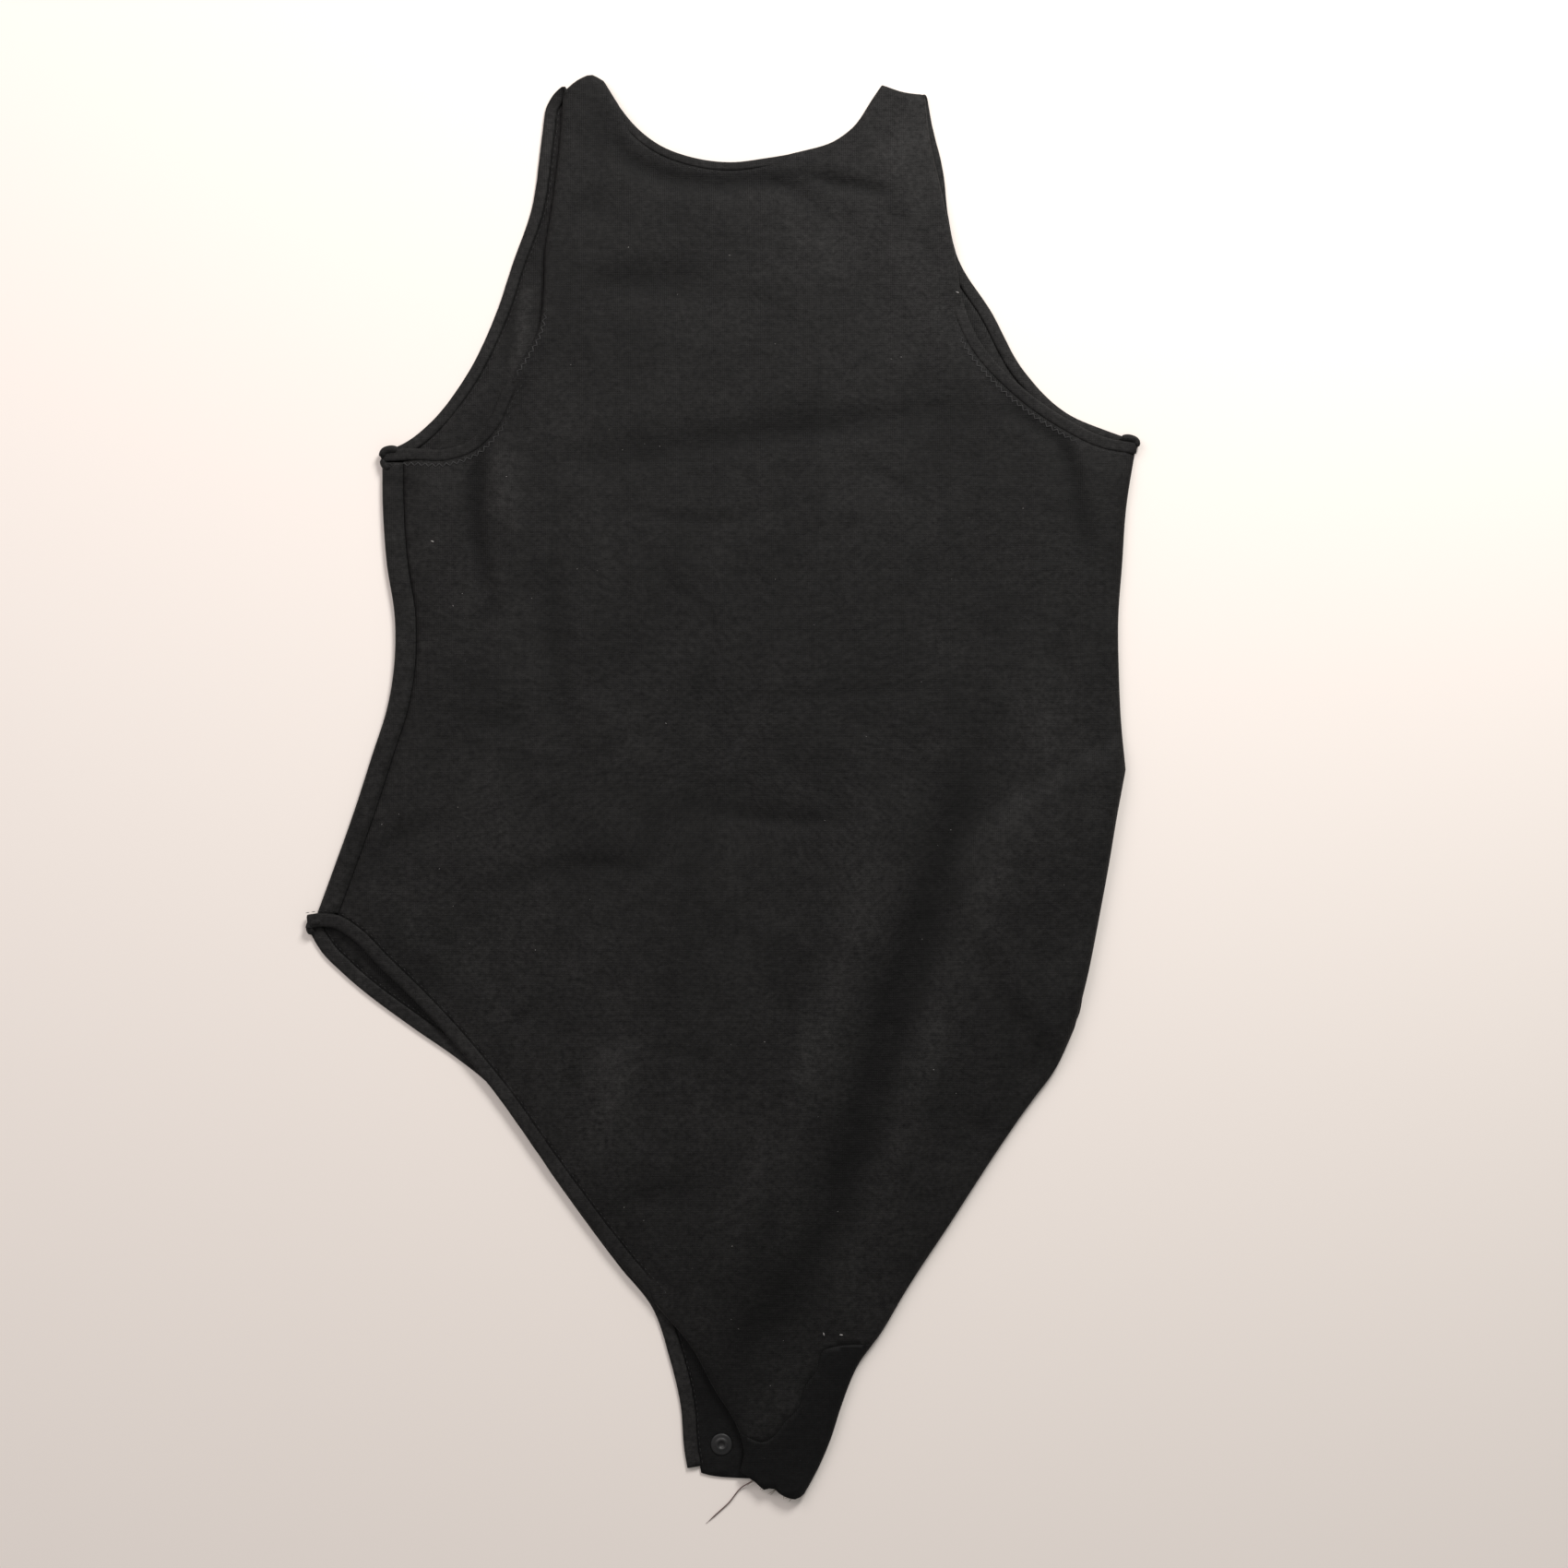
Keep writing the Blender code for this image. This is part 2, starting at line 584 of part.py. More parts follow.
neck_cut = Border(neck_front, NECK_BAND + SEAM_GAP, ())
arm_right_cut = Border(armhole_right_front, ARM_BAND + SEAM_GAP, ())
arm_left_cut = Border(armhole_left_front, ARM_BAND + SEAM_GAP, ())
leg_left_cut = Border(leg_left_front, LEG_BAND + SEAM_GAP, ())
leg_right_roll = Border(leg_right, ROLL_INSET, ROLL_ROWS[1:])
leg_right_back_cut = Border(leg_right, ROLLED_BAND_INSET + LEG_BAND + SEAM_GAP, ())
leg_left_back_cut = Border(leg_left_back, LEG_BAND + SEAM_GAP, ())
FRONT_BANDED = (neck_cut, arm_right_cut, arm_left_cut, leg_left_cut)

front_outline = (
    crotch_front, leg_right, hip_edge, side_right, armhole_right_front, strap_right, neck_front,
    strap_left_front, armhole_left_front, FRONT_SEAM, leg_left_front,
)
back_outline = (
    crotch_back, leg_right, hip_edge, side_right, armhole_right_back, strap_right, neck_back,
    strap_left_back, armhole_left_back, wrap_edge, leg_left_back,
)
front_cut = Cut(
    front_outline,
    (
        Border(front_tab_seam, TAB_SEAM_INSET, ()),
        leg_right_roll,
        Border(hip_edge, ROLL_INSET, ROLL_ROWS[1:]),
        Border(side_right, ROLL_INSET, ROLL_ROWS[1:]),
        arm_right_cut,
        Border(strap_right, STRAP_INSET, ()),
        neck_cut,
        Border(strap_left_front, STRAP_INSET, ()),
        arm_left_cut,
        Border(FRONT_SEAM, 0, ()),
        leg_left_cut,
    ),
    (front_tab_seam,),
    (),
)
back_cut = Cut(
    back_outline,
    (
        Border(back_tab_seam, SEAM_GAP / 2, ()),
        leg_right_back_cut,
        Border(hip_edge, HIP_EDGE_INSET, ()),
        Border(side_right, BACK_SIDE_INSET, ()),
        Border(armhole_right_back, ARM_BAND + SEAM_GAP, ()),
        Border(strap_right, STRAP_INSET, ()),
        Border(neck_back, NECK_BAND + SEAM_GAP, ()),
        Border(strap_left_back, STRAP_INSET, ()),
        Border(armhole_left_back, ARM_BAND + SEAM_GAP, ()),
        Border(wrap_edge, 0, ()),
        leg_left_back_cut,
    ),
    (back_tab_seam,),
    wrap_creases + hip_creases,
)
front_tab_cut = Cut(
    front_outline,
    (
        Border(crotch_front, ROLL_INSET, ()),
        leg_right_roll,
        Border(front_tab_top, TAB_SEAM_INSET, ()),
        leg_left_cut,
    ),
    (front_tab_top,),
    (),
)
back_tab_cut = Cut(
    back_outline,
    (
        Border(crotch_back, ROLL_INSET, ()),
        leg_right_back_cut,
        Border(back_tab_top, SEAM_GAP / 2, ()),
        leg_left_back_cut,
    ),
    (back_tab_top,),
    (),
)

jersey, band_look = material(*BLACK_JERSEY), material(*BLACK_BAND)
tab_look, snap_look = material(*BLACK_TAB), material(*BLACK_SNAP)

add_wall("front_panel", front_cut, FRONT_SPACING, front_height, jersey, fold_points())
add_wall("back_panel", back_cut, BACK_SPACING, back_height, jersey, place=wrapped)
add_wall("crotch_tab_front", front_tab_cut, FRONT_SPACING, front_height, tab_look)
add_wall("crotch_tab_back", back_tab_cut, FRONT_SPACING, back_height, tab_look)
add_hip_fold(jersey)
add_snap(snap_look)

for name, front, back, width in (
    ("neck_band", neck_front, neck_back, NECK_BAND),
    ("armhole_band_right", armhole_right_front, armhole_right_back, ARM_BAND),
    ("armhole_band_left", armhole_left_front, armhole_left_back, ARM_BAND),
):
    upper, upper_side = strand(front, width, UPPER_BAND)
    lower, lower_side = strand(back, width, LOWER_BAND)
    add_band(name, [(upper, upper_side), (lower[::-1], lower_side[::-1])], width, band_look, ring=True)

upper, upper_side = strand(leg_left_front, LEG_BAND, UPPER_BAND, trims=(BEND_TRIM, ROLL_INSET))
lower, lower_side = strand(leg_left_back, LEG_BAND, LOWER_BAND, trims=(BEND_TRIM, ROLL_INSET))
strands = [(upper[::-1], upper_side[::-1]), (lower, lower_side)]
add_band("leg_band_left", strands, LEG_BAND, band_look, ring=False)
rolled = strand(leg_right, LEG_BAND, LOWER_BAND, ROLLED_BAND_INSET, (BEND_TRIM, HIDDEN_BAND_END))
add_band("leg_band_right", [rolled], LEG_BAND, band_look, ring=False)

# The origin goes to the middle of the garment, on the floor
graph = bpy.context.evaluated_depsgraph_get()
boxes = [made.evaluated_get(graph) for made in GARMENT.objects]
corners = np.array([box.matrix_world @ Vector(corner) for box in boxes for corner in box.bound_box])
low, high = corners.min(axis=0), corners.max(axis=0)
for made in GARMENT.objects:
    made.location -= Vector(((low[0] + high[0]) / 2, (low[1] + high[1]) / 2, low[2]))
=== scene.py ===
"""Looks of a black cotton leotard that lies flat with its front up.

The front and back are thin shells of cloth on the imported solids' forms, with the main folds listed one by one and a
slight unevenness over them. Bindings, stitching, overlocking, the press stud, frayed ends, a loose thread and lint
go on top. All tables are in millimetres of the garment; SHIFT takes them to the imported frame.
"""

import math
from collections import namedtuple

import bmesh
import bpy
import numpy as np
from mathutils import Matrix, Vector, noise
from mathutils.geometry import delaunay_2d_cdt


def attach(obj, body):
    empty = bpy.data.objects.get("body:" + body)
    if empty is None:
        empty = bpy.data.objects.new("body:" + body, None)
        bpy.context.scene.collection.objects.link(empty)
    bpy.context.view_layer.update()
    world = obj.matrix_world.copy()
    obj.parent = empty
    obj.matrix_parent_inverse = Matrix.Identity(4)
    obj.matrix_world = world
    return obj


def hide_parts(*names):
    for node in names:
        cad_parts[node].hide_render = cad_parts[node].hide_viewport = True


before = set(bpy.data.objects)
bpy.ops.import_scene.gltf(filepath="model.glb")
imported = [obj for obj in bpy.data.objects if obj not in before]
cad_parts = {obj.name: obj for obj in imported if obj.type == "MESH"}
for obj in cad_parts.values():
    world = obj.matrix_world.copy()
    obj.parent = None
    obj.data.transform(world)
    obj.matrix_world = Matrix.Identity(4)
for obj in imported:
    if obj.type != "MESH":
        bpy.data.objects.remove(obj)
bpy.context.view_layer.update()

MM = 0.001

# Where the tables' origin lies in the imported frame
SHIFT = (0.15, -1.04)

# The photograph: its side on the garment and its middle
PHOTO_SIDE = 792.7
PHOTO_MIDDLE = (31.0, 3.3)
LENS = 50.0
SENSOR = 36.0

# The cloth, its seams and its bindings
CLOTH = 0.9
TUCK = 0.5
STITCH_INSET = 1.5
NECK_BAND = 4.5
ARM_BAND = 6.0
LEG_BAND = 7.0

# Heights of the middle of a wall or binding above the floor
BACK_LEVEL = 0.6
FRONT_LEVEL = 4.8
FRONT_LOWEST = 2.75
LOWER_BAND = 1.0
UPPER_BAND = 3.6

# The back wraps round the left side and is seamed to the front on top
WRAP_RADIUS = 1.3
WRAP_LIP = 9.0
WRAP_OUTSIDE = 1.9
WRAP_ROWS = 10
SEAM_GAP = 0.3
SEAM_SINK = 0.5

# Where a band is turned under, the front covers it, with a rounded edge
COVERED_INSET = 0.1
COVERED_RISE = 0.95
COVERED_BAND = 0.45
COVERED_ROWS = (0.7, 1.4, 2.3, 3.4)
COVERED_EDGE = 3.3

# The right side and leg edges of the front roll down to the floor's side
ROLL_WIDTH = 6.0
ROLL_INSET = 0.45
ROLL_ROWS = (0.6, 0.85, 1.2, 1.7, 2.4, 3.4, 4.6)
ROLLED_BAND_INSET = 0.5
HIP_EDGE_INSET = 4.5
BACK_SIDE_INSET = 1.0
STRAP_INSET = 0.5
STRAP_ROWS = (0.8, 1.3, 2.0, 3.0, 4.2)
STRAP_FOLD_LEVEL = 2.0
TAB_SEAM_INSET = 0.05

# The hip that is folded under
HIP_THICK = 2.7
HIP_LIFT = 3.0
HIP_FRONT_LIFT = 2.3
HIP_RAMP_START = 8.0
HIP_RAMP_END = 22.0

# How finely the walls and bindings are divided
EDGE_STEP = 3.0
FRONT_SPACING = 2.7
BACK_SPACING = 4.0
FOLD_STEP = 12.0
EXTENSION = 14.0
BEND_PARTS = 12
BEND_TRIM = 2.3
HIDDEN_BAND_END = 28.0

FRONT_RISE = 13.0

# Edges, as landmarks (x, y) that a smooth curve runs through. They go anticlockwise, with the cloth on their left.
NECK_FRONT = (
    (81, 357.5), (76, 350), (66, 335.5), (56.5, 328.5), (40.5, 323.5), (21.5, 320), (4, 318), (-13.5, 320),
    (-32.5, 327), (-43, 335), (-51.5, 345), (-61, 360),
)
NECK_BACK = (
    (80.5, 357), (74, 347), (62, 332), (45, 320.5), (22, 315), (4, 314), (-14, 315), (-32, 321), (-46, 334),
    (-61, 359.5),
)
STRAP_RIGHT = ((103.5, 352.5), (91.5, 354), (81, 357.5))
STRAP_LEFT_FRONT = ((-61, 360), (-66.5, 362.8), (-73, 360.5), (-80.5, 354.5))
STRAP_LEFT_BACK = ((-61, 359.5), (-70, 357.5), (-80, 354.5), (-90, 351.5))
ARMHOLE_RIGHT_FRONT = (
    (210.4, 176), (194.5, 178.5), (173.5, 188.5), (150, 205.5), (129, 229.5), (121.5, 248), (117, 273),
    (109.5, 307.5), (104.5, 330), (102, 352.5),
)
ARMHOLE_RIGHT_BACK = (
    (210.8, 177), (197.5, 181.5), (173.5, 192), (152.5, 213), (136, 243), (119, 270.5), (114.5, 290),
    (111.5, 315), (106, 338), (103.5, 352.5),
)
ARMHOLE_LEFT_FRONT = (
    (-80.5, 354.5), (-82, 330), (-85.5, 300), (-89.5, 273), (-90.5, 250), (-93, 233), (-101, 218),
    (-111, 203.5), (-119, 186.5), (-128, 177.2), (-140.5, 172.8), (-157, 173.2), (-173, 172.3),
)
ARMHOLE_LEFT_BACK = (
    (-90, 346), (-92, 329.5), (-97.5, 293), (-106, 269), (-115, 242), (-133, 206), (-150, 185), (-161, 176.5),
    (-173, 171.5),
)
SIDE_RIGHT = ((204, 10.5), (202, 33), (200.8, 60), (200.5, 87), (202.5, 115), (204.5, 143), (209, 172))
SIDE_LEFT = (
    (-172.8, 171), (-172.5, 143), (-170.5, 115), (-166.5, 88), (-166.5, 67), (-170, 43), (-178, 17.5),
    (-187, -10.5), (-197.5, -40), (-208.5, -70),
)
HIP_EDGE = ((178, -120.5), (185, -92.5), (190.5, -64.5), (195.3, -38.5), (200, -10.5), (204, 10.5))
LEG_RIGHT = (
    (41.5, -356), (48.5, -343), (54.5, -329), (60.5, -310.5), (68.5, -291), (80, -275), (93, -253),
    (116, -218), (138, -184), (154.5, -160), (168.5, -141), (178, -120.5),
)
LEG_LEFT_FRONT = (
    (-210.5, -70), (-204, -69), (-197, -69.6), (-190, -73.5), (-173, -90), (-154, -108.5), (-118, -149.5), (-85.5, -195),
    (-50.5, -241), (-29.5, -265), (-16, -281), (-4, -303), (7.5, -322), (11, -334), (9, -345),
)
LEG_LEFT_BACK = (
    (-210.5, -68.6), (-208.3, -74), (-203, -82.5), (-193, -92.5), (-157, -120.5), (-136, -135), (-118, -149.5), (-85.5, -196.5),
    (-52, -242), (-36, -262), (-27, -288), (-21.5, -311.5), (-19.5, -335), (-18, -344),
)
CROTCH_FRONT = ((9, -345), (15.5, -349.5), (22.5, -354), (24, -352.8), (29.5, -356.5), (38, -358.5), (41.5, -356))
CROTCH_BACK = ((-18, -344), (-8.4, -347.4), (8.8, -349.2), (24, -349.5), (46, -350))
BACK_TAB_SEAM = ((-45, -267), (10, -267), (90, -267))
FRONT_TAB_SEAM = (
    (11, -326), (20.5, -329.5), (27, -325), (31, -319.5), (38.5, -311.5), (41.5, -301), (47.5, -293), (50.5, -283),
    (58, -280.8), (76, -280),
)
HIP_FOLD_OUTLINE = (
    (203, 8), (176, -8), (146, -30), (134, -49), (150, -79), (168, -109), (177, -117), (184.5, -90), (192.5, -48),
    (199, -12),
)

SNAP_CENTRE = (-0.7, -331.5)

# Height of the front's rolled right edge at each level y of the garment
EdgeHeight = namedtuple("EdgeHeight", "y height")
ROLLED_EDGE = (
    EdgeHeight(-360, 2.6),
    EdgeHeight(-150, 2.6),
    EdgeHeight(-112, 3.7),
    EdgeHeight(2, 3.7),
    EdgeHeight(40, 1.6),
    EdgeHeight(180, 1.6),
)

# Folds of the front: a curve through points (x, y), half its width, and its height (a trough is negative)
Fold = namedtuple("Fold", "path width height")
FOLDS = (
    Fold(((-90, 164), (31, 181.5), (145, 194.5)), 11, -1.3),
    Fold(((-88, 227), (-104, 204), (-109, 176)), 8, -1.0),
    Fold(((-114, 196), (-121, 175), (-125, 155), (-126, 135), (-118, 95)), 6, -2.3),
    Fold(((-110, 185), (-112, 157), (-103, 120)), 11, 1.4),
    Fold(((138, 206), (156, 187), (171, 177), (176, 164), (179, 148), (185, 116)), 6.5, -2.0),
    Fold(((136, 33.5), (116, -20), (94, -90), (31, -258), (-2, -297)), 15, -1.9),
    Fold(((160, 10), (126, -70), (85, -185), (55, -262)), 15, 1.0),
    Fold(((96, 0), (66, -80), (20, -200), (-5, -260)), 15, 0.9),
    Fold(((-58, 340), (-47, 320), (-27, 311), (-3, 308), (20, 309.5), (35, 305), (53, 290)), 7.5, -2.6),
    Fold(((38, 312), (59, 307), (84, 302)), 5, -1.8),
    Fold(((-76, 258), (-35, 257), (-2, 263)), 13, -1.4),
    Fold(((-60, -206.5), (-11, -205.5)), 10, -1.0),
    Fold(((-186, -50.5), (-165, -24.5), (-137, -13)), 8, -1.0),
    Fold(((-123, -52.5), (-85.5, -41), (-39, -38.5)), 9, -0.9),
    Fold(((-127.5, 36), (-99.5, 33.5)), 9, -0.9),
    Fold(((-15.5, -8.5), (68.5, -15.5)), 10, -0.7),
    Fold(((-85.5, 131.5), (-85.5, 73), (-74, 12.5)), 9, -0.8),
    Fold(((-60, -158), (-39, -128)), 10, 1.0),
)

# Smaller creases of the front
CREASES = (
    Fold(((78, 337), (86, 324)), 4, -0.8),
    Fold(((62, 300), (66, 277)), 5, -0.5),
    Fold(((88, 294), (92, 286)), 4, -0.6),
    Fold(((99, 283), (107, 267)), 4, -0.6),
    Fold(((-66, 346), (-61, 318)), 6, -0.8),
    Fold(((-84, 298), (-70, 295), (-56, 300)), 10, -1.0),
    Fold(((-62, 145), (-11, 136), (36, 143)), 5, -0.5),
    Fold(((64, 166), (85, 157), (106, 143)), 4, -0.5),
    Fold(((-32, 106), (-20, 99), (-9, 91)), 4, -0.6),
    Fold(((-2, 45), (64, 49), (129, 52)), 5, -0.4),
    Fold(((-16, -8), (26, -15), (68, -15)), 5, -0.5),
    Fold(((31, 13), (45, 4), (59, -6)), 5, -0.45),
    Fold(((-76, -137), (-77, -155)), 7, -1.0),
    Fold(((-67, -155), (-60, -141), (-41, -127)), 7, 0.8),
    Fold(((-39, -130), (-20, -133), (-2, -134)), 4, -0.5),
    Fold(((-111, -123), (-97, -112), (-86, -104)), 4, -0.6),
    Fold(((85, -11), (85, -43)), 4, -0.5),
    Fold(((36, -95), (33, -123), (31, -151)), 5, -0.5),
    Fold(((24, -151), (26, -179), (19, -249)), 6, -0.6),
    Fold(((122, -167), (141, -172)), 6, -0.45),
    Fold(((94, -207), (108, -208)), 5, -0.45),
    Fold(((106, -113), (129, -127)), 5, -0.35),
    Fold(((148, -151), (166, -127)), 5, -0.4),
    Fold(((-128, 78), (-111, 97)), 6, -0.8),
    Fold(((-160, -83), (-142, -94)), 5, -0.5),
    Fold(((68, 176), (66, 148)), 4, -0.35),
    Fold(((171, 78), (173, 55)), 5, -0.35),
    Fold(((-39, -186), (-44, -202)), 6, -0.35),
    Fold(((-48, 138), (-39, 120), (-30, 113)), 4, -0.35),
    Fold(((-6, 78), (-4, 52)), 4, -0.3),
    Fold(((101, 17), (120, 27)), 5, 0.45),
    Fold(((-86, -34), (-62, -37), (-39, -40)), 4, -0.5),
    Fold(((-151, -71), (-132, -81)), 5, -0.35),
    Fold(((40, -118), (45, -155)), 5, 0.35),
    Fold(((134, -11), (148, 3)), 5, -0.35),
    Fold(((-25, 246), (8, 250), (40, 241)), 5, -0.35),
    Fold(((-104, 3), (-86, -11)), 5, -0.35),
    Fold(((54, -202), (45, -225)), 6, 0.45),
)

# Raised folds of the back's inside, where the armholes and the left leg show it
BACK_FOLDS = (
    Fold(((-96, 262), (-101, 240), (-103, 223), (-108, 209)), 4.0, 1.7),
    Fold(((-132, 203), (-140, 192), (-152, 181)), 5, 0.6),
    Fold(((-198, -84), (-170, -106), (-140, -128)), 5, 0.7),
)

# Painted shade on the back's inside, which only darkens its colour: some lies in the shadow of the front's edge, some
# beside a fold
BACK_PAINTED_SHADE = (
    Fold(((-97, 263), (-105, 252), (-107.5, 240), (-109.5, 223), (-111, 209)), 2.4, -1.6),
    Fold(((-88, 340), (-91, 300), (-94.5, 270), (-95, 250), (-98, 231)), 4.5, -1.8),
    Fold(((-114, 203), (-124, 187), (-140, 178)), 4.5, -0.8),
    Fold(((-203, -76), (-186, -84), (-160, -106), (-128, -141)), 6, -1.5),
    Fold(((-26, -270), (-14, -296), (-4, -325)), 9, -1.0),
    Fold(((-173, 158.5), (-186, 156.5)), 2.6, -1.6),
)
# Painted light that lifts the back's inside, and the bindings' strands on the back, above the even 0.5
BACK_PAINTED_LIGHT = 0.10

# Unevenness of the laid cloth: how wide its swells are, how much they stretch along x, and their height
Swell = namedtuple("Swell", "size stretch height")
# How much a fold darkens its hollow with painted shade, and lightens its ridge with painted light, for each mm of its
# height
FOLD_PAINTED_SHADE = 0.30
SWELLS = (Swell(55.0, 1.0, 0.55), Swell(21.0, 1.6, 0.28), Swell(8.0, 1.8, 0.09))

# A binding's section: how far across it, from its opening edge (0.5) to its sewn edge (-0.5), and its half height
# where it is one smooth roll and where a groove parts its two rolls
SectionPoint = namedtuple("SectionPoint", "across plain grooved")
BINDING_SECTION = (
    SectionPoint(0.50, 0.10, 0.10),
    SectionPoint(0.475, 0.50, 0.55),
    SectionPoint(0.40, 0.80, 0.90),
    SectionPoint(0.28, 0.95, 1.06),
    SectionPoint(0.18, 1.00, 0.80),
    SectionPoint(0.10, 1.02, 0.20),
    SectionPoint(0.02, 1.02, 0.12),
    SectionPoint(-0.06, 1.00, 0.55),
    SectionPoint(-0.20, 0.96, 0.98),
    SectionPoint(-0.34, 0.90, 0.92),
    SectionPoint(-0.44, 0.66, 0.60),
    SectionPoint(-0.50, 0.20, 0.12),
)

# Where the front's bands show. At hidden, along x (0) or y (1), the front still covers the band, and at shown it
# starts behind it. A band that has two rows shows between them.
HemShow = namedtuple("HemShow", "band axis hidden shown")
HEM_SHOWS = (
    HemShow("neck_band", 0, 38, 14),
    HemShow("neck_band", 0, -53, -44),
    HemShow("armhole_band_right", 1, 252, 238),
    HemShow("armhole_band_left", 1, 214, 198),
    HemShow("leg_band_left", 1, -262, -244),
)

# How deep the groove between a band's two rolls is, on the front
GROOVE_DEPTH = {
    "armhole_band_right": 0.0, "armhole_band_left": 1.0, "neck_band": 0.3, "leg_band_left": 0.0, "leg_band_right": 0.3,
}

# Patches of the front painted lighter or darker than the rest, each by its own amount: painted light on the upper
# chest, the right strap, a few ridges and the lower left, and painted shade at the crotch, the lower right and the
# middle
Patch = namedtuple("Patch", "x y radius fade")
PAINTED_LIGHT_PATCHES = (
    Patch(93, 325, 26, 0.45),
    Patch(60, 285, 50, 0.18),
    Patch(110, 240, 35, 0.12),
    Patch(-110, -60, 70, 0.14),
    Patch(-60, -160, 45, 0.20),
    Patch(160, 32, 22, 0.22),
    Patch(15, -262, 55, -0.22),
    Patch(22, -311, 15, 0.22),
    Patch(-12, -330, 24, -0.42),
    Patch(-20, -295, 16, -0.30),
    Patch(120, -130, 60, -0.14),
    Patch(10, 60, 90, -0.10),
    Patch(-160, 130, 30, 0.12),
)

# Where the bands' seams end in a lump at the armpits and the left hip: a path (x, y, z) and its radius
SeamEnd = namedtuple("SeamEnd", "path radius")
SEAM_ENDS = (
    SeamEnd(((-164, 172.0, 3.2), (-168, 172.6, 3.6), (-171.6, 171.2, 3.4), (-172.2, 167.8, 3.0)), 2.1),
    SeamEnd(((-172.0, 168.5, 2.5), (-171.4, 165, 2.6), (-168, 162.8, 2.9)), 1.9),
    SeamEnd(((201, 177.8, 2.8), (206, 178.2, 3.0), (209.2, 176.6, 2.8), (209.2, 173.2, 2.4)), 2.1),
    SeamEnd(((-202, -66.5, 3.3), (-206.5, -66.6, 3.2), (-209.3, -69.2, 2.6), (-207.5, -73.5, 2.0)), 1.9),
)

LINT_SPOTS = ((-146.7, 125.9), (118.7, 251.8), (59.9, -275.1), (51.1, -274.7))
LINT_COUNT = 60
LOOSE_THREAD = (
    (17.0, -347.0, 3.4), (14.7, -349.7, 2.6), (9.1, -353.9, 0.9), (3.0, -361.4, 0.6), (-3.5, -367.4, 0.5),
    (-8.6, -372.1, 0.4),
)
FRAY_ROOTS = ((16.5, -349.0), (20.5, -352.0), (24.0, -351.5), (27.5, -353.5), (31.5, -356.0), (35.0, -357.0))

Edge = namedtuple("Edge", "points normals core")
Border = namedtuple("Border", "edge inset rows")
Cut = namedtuple("Cut", "outline borders seams creases")


# Curves in the plan


def spline(landmarks, step):
    """Points about one step apart on the smooth curve through the landmarks."""
    knots = np.array(landmarks, float)
    chord = np.r_[0, np.cumsum(np.linalg.norm(np.diff(knots, axis=0), axis=1))]
    slope = np.gradient(knots, chord, axis=0)
    fine = np.linspace(0, chord[-1], 40 * len(knots))
    span = np.clip(np.searchsorted(chord, fine, side="right") - 1, 0, len(chord) - 2)
    length = (chord[span + 1] - chord[span])[:, None]
    t = (fine - chord[span])[:, None] / length
    curve = (
        (2 * t**3 - 3 * t**2 + 1) * knots[span]
        + (t**3 - 2 * t**2 + t) * length * slope[span]
        + (3 * t**2 - 2 * t**3) * knots[span + 1]
        + (t**3 - t**2) * length * slope[span + 1]
    )
    run = np.r_[0, np.cumsum(np.linalg.norm(np.diff(curve, axis=0), axis=1))]
    at = np.linspace(0, run[-1], max(2, round(run[-1] / step)) + 1)
    return np.column_stack([np.interp(at, run, curve[:, axis]) for axis in range(curve.shape[1])])


def left_normals(points):
    """Mitred normals: a line moved along them stays at one distance from each of its straight parts."""
    direction = np.diff(points, axis=0)
    direction /= np.linalg.norm(direction, axis=1)[:, None]
    normals = np.column_stack([-direction[:, 1], direction[:, 0]])
    before, after = np.vstack([normals[:1], normals]), np.vstack([normals, normals[-1:]])
    return (before + after) / (1 + (before * after).sum(axis=1))[:, None]


def trace(landmarks, step=EDGE_STEP, head=None, tail=None):
    """An edge: its curve, drawn on at both ends, and the normals into the cloth. head and tail aim the two ends."""
    core = spline(landmarks, step)
    before = core[0] - core[1] if head is None else np.array(head, float)
    after = core[-1] - core[-2] if tail is None else np.array(tail, float)
    start = core[0] + before / np.linalg.norm(before) * EXTENSION
    end = core[-1] + after / np.linalg.norm(after) * EXTENSION
    points = np.vstack([start, core, end])
    return Edge(points, left_normals(points), slice(1, -1))


def shifted(edge, inset):
    """The edge moved into the cloth, by one inset or one for each of its points."""
    return edge.points + edge.normals * np.broadcast_to(inset, len(edge.points))[:, None]


def nearest(points, line):
    """How far each point is from a polyline, how far along it that is, from 0 to 1, and if it is on its left."""
    start, along = line[:-1], np.diff(line, axis=0)
    length = np.linalg.norm(along, axis=1)
    t = ((points[:, None] - start) * along).sum(axis=2) / length**2
    t = np.clip(t, 0, 1)
    away = points[:, None] - (start + t[..., None] * along)
    far = np.linalg.norm(away, axis=2)
    best = far.argmin(axis=1)
    rows = np.arange(len(points))
    run = np.r_[0, np.cumsum(length)]
    left = along[best, 0] * away[rows, best, 1] > along[best, 1] * away[rows, best, 0]
    return far[rows, best], (run[best] + t[rows, best] * length[best]) / run[-1], left


def inside(points, polygon):
    x, y = points[:, 0, None], points[:, 1, None]
    ax, ay = polygon[:, 0], polygon[:, 1]
    bx, by = np.roll(ax, -1), np.roll(ay, -1)
    level = by - ay
    crossing_x = ax + (y - ay) * (bx - ax) / np.where(level == 0, 1, level)
    crosses = ((ay > y) != (by > y)) & (x < crossing_x)
    return crosses.sum(axis=1) % 2 == 1


def smoothstep(t):
    t = np.clip(t, 0, 1)
    return t * t * (3 - 2 * t)


# Heights of the two walls


def hip_lift(points):
    """1 over the folded hip, falling to 0 round it."""
    outline = np.vstack([HIP_OUTLINE, HIP_OUTLINE[:1]])
    away = nearest(points, outline)[0]
    away[inside(points, HIP_OUTLINE)] = 0
    return smoothstep((HIP_RAMP_END - away) / (HIP_RAMP_END - HIP_RAMP_START))


